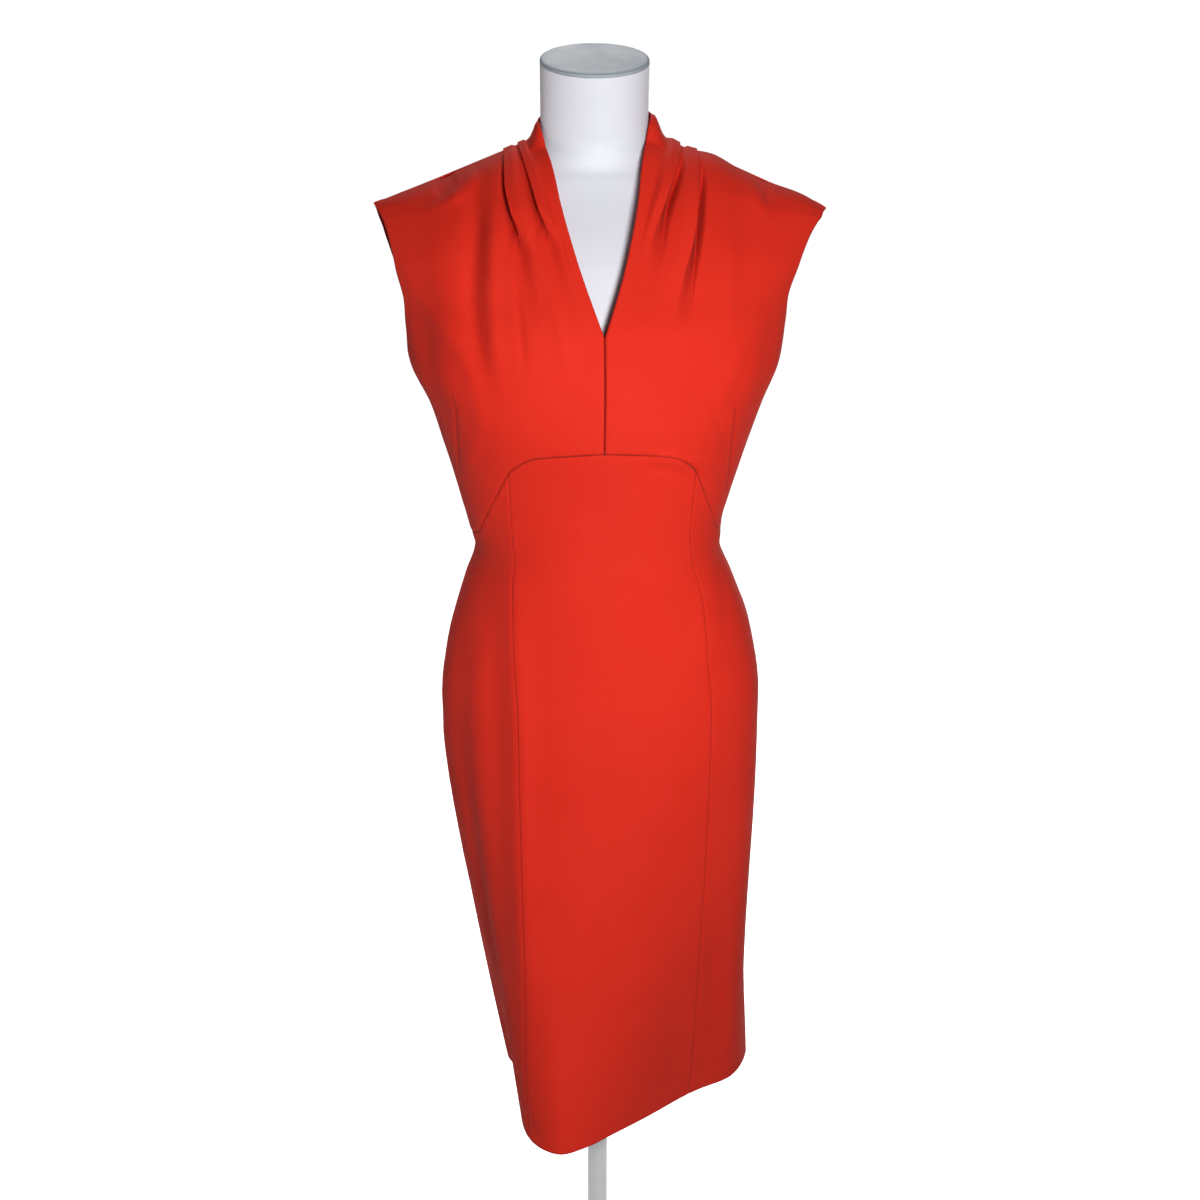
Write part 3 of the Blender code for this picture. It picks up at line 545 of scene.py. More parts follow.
@dataclass(frozen=True)
class PlainFinish:
    """A fabric, paint or metal with two tones, a mottled roughness and a fine grain."""

    name: str
    color: tuple
    second: tuple
    roughness: float
    rough_range: float = 0.08
    mottle: float = 20.0
    grain: float = 1500.0
    grain_depth: float = 0.00008
    metallic: float = 0.0
    sheen: float = 0.0
    coat: float = 0.0
    dust: float = 0.0
    dust_scale: float = 120.0
    dust_size: float = 0.05
    dust_color: tuple = (0.75, 0.75, 0.76, 1)

    def material(self) -> bpy.types.Material:
        """Builds the material.

        Returns:
            The finish's material.
        """
        material, graph, shader, here = new_material(
            self.name, Metallic=self.metallic, Sheen_Weight=self.sheen, Coat_Weight=self.coat,
            Coat_Roughness=0.25,
        )
        mottle = Effects.use(graph, mottle_group, Vector=here, Scale=self.mottle)
        grain = Effects.use(graph, grain_group, Vector=here, Scale=self.grain)
        color = graph.mix(mottle, self.color, self.second)
        if self.dust:
            dust = Effects.use(graph, speck_group, Vector=here, Scale=self.dust_scale, Size=self.dust_size)
            color = graph.mix(graph.math("MULTIPLY", dust, self.dust), color, self.dust_color)
        rough = graph.math("MULTIPLY_ADD", mottle, self.rough_range, self.roughness)
        bump = graph.bump({"Height": grain, "Distance": self.grain_depth, "Strength": 0.6})
        graph.feed(shader, {"Base Color": color, "Roughness": rough, "Normal": bump})
        return material


FORM_COVER = PlainFinish("form_jersey", (0.70, 0.71, 0.77, 1), (0.65, 0.66, 0.725, 1), 0.5, mottle=7.0, sheen=0.15)
NECK_CAP = PlainFinish("neck_cap_cloth", (0.39, 0.44, 0.49, 1), (0.33, 0.375, 0.43, 1), 0.55, mottle=30.0)
STITCH = PlainFinish("white_thread", (0.62, 0.64, 0.68, 1), (0.5, 0.52, 0.56, 1), 0.7, mottle=200.0)
STAND_PAINT = PlainFinish(
    "stand_paint", (0.74, 0.74, 0.75, 1), (0.68, 0.68, 0.70, 1), 0.32, grain_depth=0.00002, coat=0.3, dust=0.4,
)
ZIP_METAL = PlainFinish(
    "zip_metal", (0.17, 0.16, 0.15, 1), (0.13, 0.12, 0.115, 1), 0.5, metallic=1.0, grain_depth=0.00001, mottle=300.0,
)
ZIP_TAPE = PlainFinish("zip_tape", (0.42, 0.013, 0.008, 1), (0.32, 0.010, 0.006, 1), 0.8, mottle=90.0, grain=2500.0)
FLOOR = PlainFinish("studio_floor", (0.86, 0.86, 0.86, 1), (0.84, 0.84, 0.84, 1), 0.7, mottle=2.0, grain=200.0)


# ---------------------------------------------------------------- meshes
def add_object(name: str, bm: bmesh.types.BMesh, material: bpy.types.Material) -> bpy.types.Object:
    """Makes a smooth-shaded object of a bmesh, with sharp edges over 40 degrees.

    Args:
        name: the object's name.
        bm: its shape, in metres, which is freed.
        material: its material.

    Returns:
        The object, linked to the scene.
    """
    mesh = bpy.data.meshes.new(name)
    bm.normal_update()
    bm.to_mesh(mesh)
    bm.free()
    mesh.shade_smooth()
    mesh.set_sharp_from_angle(angle=math.radians(40))
    mesh.materials.append(material)
    obj = bpy.data.objects.new(name, mesh)
    bpy.context.scene.collection.objects.link(obj)
    return obj


def grid_mesh(bm: bmesh.types.BMesh, points: Array) -> list[bmesh.types.BMVert]:
    """Adds a grid.

    Args:
        bm: the shape that it is added to.
        points: (rows, columns, 3) points, in mm.

    Returns:
        Its vertices, row by row.
    """
    rows, columns = points.shape[:2]
    made = bmesh.ops.create_grid(bm, x_segments=columns - 1, y_segments=rows - 1, size=1)["verts"]
    for vert, place in zip(made, points.reshape(-1, 3)):
        vert.co = Vector(place * MM)
    return made


def face_outwards(bm: bmesh.types.BMesh) -> None:
    """Merges doubles and turns faces outwards.

    Args:
        bm: a closed shape.
    """
    bmesh.ops.remove_doubles(bm, verts=bm.verts[:], dist=1e-6)
    bmesh.ops.recalc_face_normals(bm, faces=bm.faces[:])
    if bm.calc_volume(signed=True) < 0:
        bmesh.ops.reverse_faces(bm, faces=bm.faces[:])


def place_piece(obj: bpy.types.Object, node: str | None = None) -> None:
    """Sets a piece on the dress's body.

    Args:
        obj: the piece.
        node: the node that it stands in for, if any.
    """
    if node:
        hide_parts(node)
    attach(obj, BODY)
    log.info("%s: %d faces", obj.name, len(obj.data.polygons))


# ---------------------------------------------------------------- the cloth's form
@dataclass(frozen=True)
class ClothForm:
    """The outer face of the worn dress, without its pleats and creases, and the rules of its seams."""

    hem: float = 476.0
    seat: float = 890.0
    underarm: float = 1291.0
    v_bottom: float = 1337.5
    back_neck: float = 1500.0
    shoulder: float = 1526.0
    princess_top: float = 1200.0
    band_from: float = 1515.0
    ridge_from: float = 1440.0
    neck_flat: float = 40.0
    hang: float = 1.3
    hem_shift: float = 30.0
    row_samples: int = 721
    collar_stand: float = 17.0
    collar_top_half: float = 55.8
    collar_base_half: float = 68.0
    collar_base_depth: float = 62.0
    shoulder_y: float = 10.0
    neck_x: float = -2.0
    sections: Table = Table("level side_right side_left half_right half_left front back middle_y square", (
        (890, 890, 890, 162, 168, 119, 124, 0, 2.35),
        (935, 935, 935, 161, 168.5, 118, 122, 0, 2.35),
        (1006, 1006, 1006, 151, 158, 110, 112, 0, 2.3),
        (1060, 1060, 1060, 136, 139, 105, 95, 0, 2.25),
        (1096, 1096, 1096, 125, 126, 103, 80, 0, 2.2),
        (1120, 1120, 1120, 131, 127, 104, 82, 0, 2.2),
        (1150, 1150, 1150, 139, 134.5, 106, 88, 0, 2.25),
        (1180, 1180, 1180, 147, 143.5, 110, 93, 0, 2.3),
        (1207, 1207, 1207, 155, 151.5, 115, 98, 0, 2.4),
        (1250, 1250, 1250, 168, 165.5, 125, 104, 2, 2.5),
        (1291, 1291, 1291, 187, 182, 129, 108, 4, 2.5),
        (1340, 1328, 1328, 194, 189, 127, 106, 8, 2.4),
        (1385, 1361, 1359, 202, 197.5, 114, 102, 10, 2.3),
        (1425, 1388, 1384, 212, 210.5, 96, 95, 10, 2.3),
        (1462, 1411, 1405, 218.5, 222, 75, 83, 10, 2.2),
        (1492, 1429, 1421, 220, 229, 53, 70, 10, 2.2),
        (1500, 1433, 1424, 220, 230, 46, 62.6, 10, 2.2),
        (1512, 1439, 1430, 220, 229.5, 33, 47, 10, 2.2),
        (1522, 1443, 1433, 219.5, 229, 16, 22, 10, 2.2),
        (1526, 1444.5, 1434, 219, 228.5, 0.25, 0.25, 10, 2.2),
    ))
    shoulder_line: tuple[tuple[float, float], ...] = (
        (-217, 0), (-150, -4), (-90, -5), (-56, -4), (0, 0), (56, 0), (88, -3), (118, 2.5), (140, 0),
        (170, 0), (205, 3), (229, 0),
    )
    hem_ring: Table = Table("angle x y height", (
        (0, 8, -131, 474), (18, 52, -92, 473), (36, 98, -51, 473.5),
        (62, 147, -18, 475), (90, 169, 32, 478), (122, 154, 86, 478),
        (152, 97, 123, 477), (180, 18, 137, 476), (208, -46, 118, 477),
        (238, -88, 78, 478), (258, -98, 36, 478), (270, -88, 2, 478),
        (288, -81, -48, 477), (308, -87, -100, 474), (324, -75, -140, 471),
        (336, -50, -160, 470), (348, -22, -152, 472),
    ))
    soft_folds: tuple[SoftFold, ...] = (
        SoftFold(-40, -40, 24, 5, 1390, 1270, 1190),
        SoftFold(40, 40, 24, 5, 1390, 1270, 1190),
        SoftFold(-31, -37, 5, -3.5, 1524, 1470, 1310),
        SoftFold(-40, -46, 7, 3, 1524, 1430, 1290),
        SoftFold(32, 37, 6, -2, 1524, 1480, 1380),
        SoftFold(-62, -58, 9, -4, 1420, 1330, 1215),
        SoftFold(60, 58, 9, -2.5, 1400, 1320, 1215),
        SoftFold(-62, -70, 13, -9, 1130, 820, 300),
        SoftFold(66, 62, 12, 3, 1060, 800, 300),
        SoftFold(-140, -140, 18, 4, 980, 600, 200),
        SoftFold(135, 140, 16, -4, 980, 600, 200),
        SoftFold(84, 92, 24, -6, 880, 600, 465),
    )
    waist_line: tuple[tuple[float, float], ...] = (
        (0, 1222), (20, 1216.5), (32, 1201), (42, 1175), (53, 1148), (68, 1122), (90, 1110), (180, 1108),
    )
    princess_line: tuple[tuple[float, float, float], ...] = (
        (476, 115, 4), (700, 100, 13), (935, 102.5, 15), (1006, 104, 11.5), (1073, 109, 9), (1114, 114, 4.5),
        (1150, 111, 1.5), (1200, 104, 0),
    )
    v_neck: tuple[tuple[float, float], ...] = (
        (1337.5, 0), (1401, 21.6), (1464, 37.5), (1491, 42), (1517, 49), (1526, 55.8),
    )
    armhole: tuple[tuple[float, float, float], ...] = (
        (1291, 0, 0), (1297, 12, 9), (1315, 27, 20), (1340, 36, 28), (1385, 44, 35), (1425, 43, 34),
        (1462, 35, 28), (1492, 22, 18), (1512, 10, 9), (1526, 0.5, 0.5),
    )

    def torso_ring(self, level: Array, angle: Array) -> Array:
        """The rings from the seat up, before folds.

        Args:
            level: the levels.
            angle: the cloth angles.

        Returns:
            (..., 3) points, in mm.
        """
        read = self.sections.read(level)
        turn = np.radians(angle)
        left = np.sin(turn) >= 0
        half = np.where(left, read["half_left"], read["half_right"])
        side = np.where(left, read["side_left"], read["side_right"])
        depth = np.where(np.cos(turn) >= 0, read["front"], read["back"])
        power = 2 / read["square"]
        x = half * signed_power(np.sin(turn), power)
        y = read["middle_y"] - np.maximum(depth, 0) * signed_power(np.cos(turn), power)
        fall = (np.hypot(x, self.neck_flat) - self.neck_flat) / (np.hypot(half, self.neck_flat) - self.neck_flat)
        return np.stack([x, y, level + (side - level) * fall], -1)

    def hem_points(self, angle: Array) -> Array:
        """Points of the hem at these cloth angles, in mm."""
        knots = self.hem_ring.column("angle")
        return np.stack([round_curve(angle, knots, self.hem_ring.column(name)) for name in ("x", "y", "height")], -1)

    def fold_height(self, level: Array, angle: Array) -> Array:
        """How far the soft folds stand out.

        Args:
            level: the levels.
            angle: the cloth angles.

        Returns:
            The heights, in mm.
        """
        total = np.zeros(np.broadcast(level, angle).shape)
        for fold in self.soft_folds:
            along = np.clip((fold.top - level) / (fold.top - max(fold.bottom, self.hem)), 0, 1)
            middle = fold.angle_top + (fold.angle_bottom - fold.angle_top) * along
            above = ease((fold.top - level) / (fold.top - fold.peak))
            below = ease((level - fold.bottom) / (fold.peak - fold.bottom))
            rise = np.where(level > fold.peak, above, below)
            total = total + fold.depth * rise * bell(angle - middle, fold.width)
        return total

    def shoulder_rise(self, points: Array, level: Array) -> Array:
        """How far the shoulder's ridge, and the band at the side of the neck, stand above the rings.

        Args:
            points: points of the rings, in mm.
            level: their levels.

        Returns:
            The rises, in mm.
        """
        span = self.collar_base_half - self.collar_top_half
        near = 1 - ease((np.abs(points[..., 0]) - self.collar_top_half) / span)
        band = self.collar_stand * near * ease((level - self.band_from) / (self.shoulder - self.band_from))
        ridge = lookup(self.shoulder_line, points[..., 0])
        return band + ridge * ease((level - self.ridge_from) / (self.shoulder - self.ridge_from))

    def surface(self, level: Array | float, angle: Array | float) -> Array:
        """Points on the outer face of the cloth.

        Args:
            level: the levels.
            angle: the cloth angles.

        Returns:
            (..., 3) points, in mm.
        """
        level, angle = np.broadcast_arrays(np.asarray(level, float), np.asarray(angle, float))
        points = self.torso_ring(np.clip(level, self.seat, None), angle)
        hanging = np.clip((self.seat - level) / (self.seat - self.hem), 0, None)[..., None]
        hem = self.hem_points(angle)
        points[..., :2] += (hem[..., :2] - points[..., :2]) * hanging**self.hang
        points[..., 2:] += (hem[..., 2:] - points[..., 2:]) * hanging
        middle = np.stack([self.hem_shift * hanging[..., 0], np.full(level.shape, float(BODY_AXIS[1]))], -1)
        points[..., :2] += unit(points[..., :2] - middle) * self.fold_height(level, angle)[..., None]
        points[..., 2] += self.shoulder_rise(points, level)
        return points

    def along_row(self, level_of: Curve, angle_from: float, angle_to: float) -> tuple[Array, Array, Array]:
        """Measures a row's cloth.

        Args:
            level_of: the row's levels by cloth angle.
            angle_from: the angle that it starts at.
            angle_to: the angle that it ends at.

        Returns:
            Distances along the row, in mm, with the angles and points that they belong to.
        """
        angles = np.linspace(angle_from, angle_to, self.row_samples)
        points = self.surface(level_of(angles), angles)
        return run_along(points), angles, points

    def waist_seam(self, angle: Array) -> Array:
        """The height of the seam between bodice and skirt at these cloth angles."""
        return lookup(self.waist_line, np.abs(angle))

    def rising_row(self, part_up: float, gap: float) -> Curve:
        """A row between the waist seam and the underarm.

        Args:
            part_up: 0 at the waist seam and 1 at the underarm.
            gap: the waist seam's gap, in mm.

        Returns:
            Its levels by cloth angle.
        """

        def level_of(angle: Array) -> Array:
            """The row's levels at these angles."""
            bottom = self.waist_seam(angle) + gap / 2
            return bottom + (self.underarm - bottom) * part_up

        return level_of

    def arm_cut(self, level: float, gap: float, value: int) -> float:
        """How far a row ends before the side's line: 1 reads the armhole's front cut and 2 its back."""
        return gap / 2 if level <= self.underarm else float(lookup(self.armhole, level, value))

    def neck_edge(self, distances: Array, points: Array, level: float, gap: float) -> float:
        """Where the neck opening ends along a front row.

        Args:
            distances: distances along the row.
            points: the point at each.
            level: the row's level.
            gap: the centre seam's gap, all in mm.

        Returns:
            The distance.
        """
        if level <= self.v_bottom:
            return gap / 2
        axis = self.neck_x * ease((level - self.v_bottom) / (self.shoulder - self.v_bottom))
        return where_crossed(distances, np.abs(points[:, 0] - axis) - lookup(self.v_neck, level))


def outward(points: Array) -> Array:
    """The directions out of the body.

    Args:
        points: (rows, columns, 3) points on it.

    Returns:
        The unit normal at each.
    """
    facing = unit(np.cross(np.gradient(points, axis=1), np.gradient(points, axis=0)))
    from_axis = (points - BODY_AXIS) * (1, 1, 0)
    return facing if (facing * from_axis).sum() > 0 else -facing


def flat_row(level: float) -> Curve:
    """Levels along a row that stays at one level."""
    return lambda angle: np.full(np.shape(angle), float(level))


# ---------------------------------------------------------------- panels of cloth
@dataclass(frozen=True)
class Border:
    """How one edge of a panel is finished below a height and above it, in mm."""

    below: Rim
    above: Rim
    change: float = 0.0
    # strength sets the depth of the seam's roll and how dark its painted shade is.
    strength: float = 0.6
    blend: float = 12.0

    def share_above(self, height: Array) -> Array:
        """How far each place along the edge has its upper finish, from 0 to 1."""
        return ease((height - self.change + self.blend / 2) / self.blend)


@dataclass(frozen=True)
class Welt:
    """A line of relief beside an edge: its height, its distance from the edge and its width, in mm."""

    height: float
    place: float
    width: float

    def lift(self, away: Array) -> Array:
        """The relief at these distances from the edge."""
        return self.height * bell(away - self.place, self.width)


@dataclass
class Panel:
    """One cut and sewn piece of the dress, from a grid of points on its outer face.

    Its borders are named first and last, for the first and last columns, bottom and top.
    """

    name: str
    points: Array
    facing: Array
    borders: dict[str, Border]
    creases: tuple[Crease, ...]
    flat: tuple[float, float]
    area: float
    # shade: painted shade under the pleat folds, from 0 to 1.
    shade: Array | float = 0.0
    thickness: float = 0.9
    roll: float = 0.95
    roll_width: float = 0.9
    zip_strength: float = 1.5
    swell: Welt = Welt(0.22, 6, 3.5)
    pucker: float = 0.16
    pucker_width: float = 8.0
    pucker_waves: tuple[float, float, float] = (3.1, 8.7, 15.0)
    turned_edge: Welt = Welt(-0.55, 0, 0.6)
    turned_line: Welt = Welt(-0.18, 10, 1.6)
    hem_edge: Welt = Welt(-0.6, 0, 0.9)
    hem_line: Welt = Welt(-1, 30, 1.7)
    hem_tack: float = 0.16
    hem_stitch: float = 0.4
    stitch_pitch: float = 9.5
    # The width of the painted shade along seams, in mm.
    seam_shade_width: float = 0.7

    def rim_height(self, rim: Rim, strength: float, away: Array, run: Array) -> Array:
        """The relief beside one edge.

        Args:
            rim: how the edge is finished.
            strength: how deep a seam is, from 0 to 1.
            away: distances from the edge, in mm.
            run: distances along it, in mm.

        Returns:
            Heights in mm.
        """
        if rim is Rim.TURNED:
            return self.turned_edge.lift(away) + self.turned_line.lift(away)
        if rim is Rim.HEM:
            stitches = np.clip(np.sin(2 * math.pi * run / self.stitch_pitch), 0, 1)
            return self.hem_edge.lift(away) + (self.hem_tack + self.hem_stitch * stitches) * self.hem_line.lift(away)
        fine, slow, broad = (run / length for length in self.pucker_waves)
        wave = np.sin(fine) * np.sin(slow + 1) + 0.6 * np.sin(broad + 2)
        roll = self.roll * (self.zip_strength if rim is Rim.ZIP else strength)
        puckers = self.pucker * wave * bell(away, self.pucker_width)
        return -roll * bell(away, self.roll_width) + self.swell.lift(away) + puckers

    def relief(self) -> tuple[Array, Array]:
        """The relief of the edges and creases.

        Returns:
            Heights over the panel, in mm, and how far painted shade darkens the cloth, from 0 to 1 in a seam.
        """
        across = np.linalg.norm(np.diff(self.points, axis=1), axis=-1)
        along = np.linalg.norm(np.diff(self.points, axis=0), axis=-1)
        first = np.concatenate([np.zeros((len(across), 1)), np.cumsum(across, 1)], 1)
        bottom = np.concatenate([np.zeros((1, along.shape[1])), np.cumsum(along, 0)], 0)
        reach = {"first": first, "last": first[:, -1:] - first, "bottom": bottom, "top": bottom[-1:] - bottom}
        height = np.zeros(first.shape)
        # near holds the painted shade along seams and crease lines and under the pleat folds.
        near = np.zeros(first.shape) + self.shade
        for name, border in self.borders.items():
            away = reach[name]
            run = bottom if name in ("first", "last") else first
            share = border.share_above(self.points[..., 2])
            height += (1 - share) * self.rim_height(border.below, border.strength, away, run)
            height += share * self.rim_height(border.above, border.strength, away, run)
            # Painted shade along the sewn seams and the zip.
            seam = np.where(border.below in (Rim.SEAM, Rim.ZIP), 1 - share, 0)
            seam = seam + np.where(border.above in (Rim.SEAM, Rim.ZIP), share, 0)
            near = np.maximum(near, border.strength * seam * bell(away, self.seam_shade_width))
        for crease in self.creases:
            lift, line = crease.height(self.points)
            height += lift
            near = np.maximum(near, line)
        return height, near

    def build(self, material: bpy.types.Material, extra: tuple[Array, ...] = ()) -> bpy.types.Object:
        """Builds the panel in place of its node.

        Args:
            material: the cloth.
            extra: more grids that join the panel along shared points.

        Returns:
            The object.
        """
        height, near = self.relief()
        points = self.points + self.facing * height[..., None]
        bm = bmesh.new()
        # The rim attribute carries the painted shade to the crepe.
        layer = bm.verts.layers.float.new("rim")
        made = grid_mesh(bm, points)
        for vert, value in zip(made, near.ravel()):
            vert[layer] = float(value)
        for grid in extra:
            grid_mesh(bm, grid)
        bmesh.ops.remove_doubles(bm, verts=bm.verts[:], dist=2e-5)
        bmesh.ops.recalc_face_normals(bm, faces=bm.faces[:])
        bm.normal_update()
        middle = self.points.shape[0] // 2 * self.points.shape[1] + self.points.shape[1] // 2
        bm.verts.ensure_lookup_table()
        if bm.verts[middle].normal.dot(Vector(self.facing.reshape(-1, 3)[middle])) < 0:
            bmesh.ops.reverse_faces(bm, faces=bm.faces[:])
        obj = add_object(f"{self.name}_cloth", bm, material)
        shell = obj.modifiers.new("wall", "SOLIDIFY")
        shell.thickness = self.thickness * MM
        shell.offset = -1
        place_piece(obj, self.name)
        return obj


HIP_RIDGE = (4.2, 13, 0, -86, 1130, -85, 1020, -84, 940, -84, 820, -82, 700, -78, 560)
SEAM = Border(Rim.SEAM, Rim.SEAM, strength=0.45)
WAIST_SEAM = Border(Rim.SEAM, Rim.SEAM, strength=0.24)


@dataclass(frozen=True)
class SkirtCut:
    """One skirt panel: the seams that it runs between, its columns and its cut in metres."""

    name: str
    start: str
    stop: str
    columns: int
    flat: tuple[float, float]
    area: float
    creases: tuple[Crease, ...] = ()


@dataclass
class Skirt:
    """The skirt's five panels, from the hem to the waist seam."""

    form: ClothForm
    rows: int = 200
    gap: float = 0.03
    waist_gap: float = 0.4
    column_spread: float = 0.75
    row_spread: float = 0.65
    zip_end: float = 1000.0
    cuts: tuple[SkirtCut, ...] = (
        SkirtCut("skirt_front_center", "right princess", "left princess", 96, (0.235, 0.752), 0.156, Crease.rows(
            (-1.6, 6, 0, 40, 1206, 66, 1201, 86, 1188),
            (-1.0, 9, 0, 70, 1080, 84, 1050, 92, 1010),
            HIP_RIDGE,
            (-1.2, 5, 0, -79, 500, -72, 476),
            (-1.8, 12, 0, 64, 640, 78, 560, 90, 490),
            (1.4, 14, 0, 30, 620, 36, 540, 40, 480),
        )),
        SkirtCut("skirt_front_side_right", "right side", "right princess", 60, (0.13, 0.72), 0.080, Crease.rows(
            HIP_RIDGE,
            (-4.0, 14, 0, -106, 1130, -111, 1050, -112, 940, -112, 820, -108, 720, -98, 580),
            (1.8, 11, 0, -150, 1040, -156, 960, -156, 900),
            (2.2, 8, 0, -150, 905, -140, 800, -127, 717, -113, 655),
        )),
        SkirtCut("skirt_front_side_left", "left princess", "left side", 60, (0.13, 0.72), 0.0744, Crease.rows(
            (-1.2, 8, 0, 118, 1110, 126, 1060, 130, 1000),
            (1.4, 12, 0, 136, 930, 142, 850, 146, 760),
            (-2.0, 9, 0, 118, 700, 124, 600, 130, 500),
        )),
        SkirtCut("skirt_back_right", "right back", "right side", 84, (0.26, 0.64), 0.146, Crease.rows(
            (-2.4, 7, 0, -30, 1085, -60, 1078, -95, 1084),
            (2.0, 8, 0, -28, 1060, -58, 1052, -90, 1058),
            (-2.6, 13, 0, -70, 1020, -84, 960, -90, 900),
            (3.4, 14, 0, -40, 860, -36, 720, -30, 560),
            (-3.4, 12, 0, -96, 800, -84, 660, -66, 500),
        )),
        SkirtCut("skirt_back_left", "left side", "left back", 84, (0.26, 0.64), 0.137, Crease.rows(
            (-2.4, 7, 0, 26, 1086, 58, 1077, 92, 1083),
            (2.0, 8, 0, 34, 1062, 62, 1052, 94, 1056),
            (-2.6, 13, 0, 64, 1010, 80, 950, 86, 880),
            (3.2, 14, 0, 54, 850, 60, 700, 62, 540),
            (-3.2, 12, 0, 108, 820, 112, 680, 112, 520),
        )),
    )

    def row(self, part_up: float, cut: SkirtCut) -> tuple[Array, Array]:
        """One row of a panel.

        Args:
            part_up: 0 at the hem and 1 at the waist seam.
            cut: the panel.

        Returns:
            Its levels and angles.
        """
        form = self.form

        def level_of(angle: Array) -> Array:
            """The row's levels at these angles."""
            return form.hem + (form.waist_seam(angle) - self.waist_gap / 2 - form.hem) * part_up

        distances, angles, _ = form.along_row(level_of, -180, 180)
        distances = distances - np.interp(0, angles, distances)
        level = form.hem + (form.princess_top - form.hem) * part_up
        half, turned = (float(lookup(form.princess_line, level, value)) for value in (1, 2))
        seams = {"right princess": turned - half, "left princess": turned + half}
        for name, angle in (("right side", -90), ("left side", 90), ("right back", -180), ("left back", 180)):
            seams[name] = float(np.interp(angle, angles, distances))
        pair = [seams[cut.start], seams[cut.stop]]
        grade = np.interp(pair, distances, np.gradient(level_of(angles), distances))
        gaps = self.gap / 2 / np.sqrt(1 - grade**2)
        ends = pair[0] + gaps[0], pair[1] - gaps[1]
        at = np.interp(ends[0] + (ends[1] - ends[0]) * spread(cut.columns, self.column_spread), distances, angles)
        return level_of(at), at

    def build(self, material: bpy.types.Material) -> None:
        """Builds the panels.

        Args:
            material: the cloth.
        """
        zipped = Border(Rim.SEAM, Rim.ZIP, self.zip_end)
        for cut in self.cuts:
            rows = [self.row(part, cut) for part in spread(self.rows, self.row_spread)]
            points = np.array([self.form.surface(*row) for row in rows])
            borders = {
                "first": zipped if cut.start == "right back" else SEAM,
                "last": zipped if cut.stop == "left back" else SEAM,
                "top": WAIST_SEAM,
                "bottom": Border(Rim.HEM, Rim.HEM),
            }
            Panel(cut.name, points, outward(points), borders, cut.creases, cut.flat, cut.area).build(material)


@dataclass
class PleatColumns:
    """A pleat's columns along a row, in mm, with the height and painted shade of the cloth beyond its edge."""

    at: Array
    height: Array
    shade: Array
    hollow: Curve
    covered: Curve


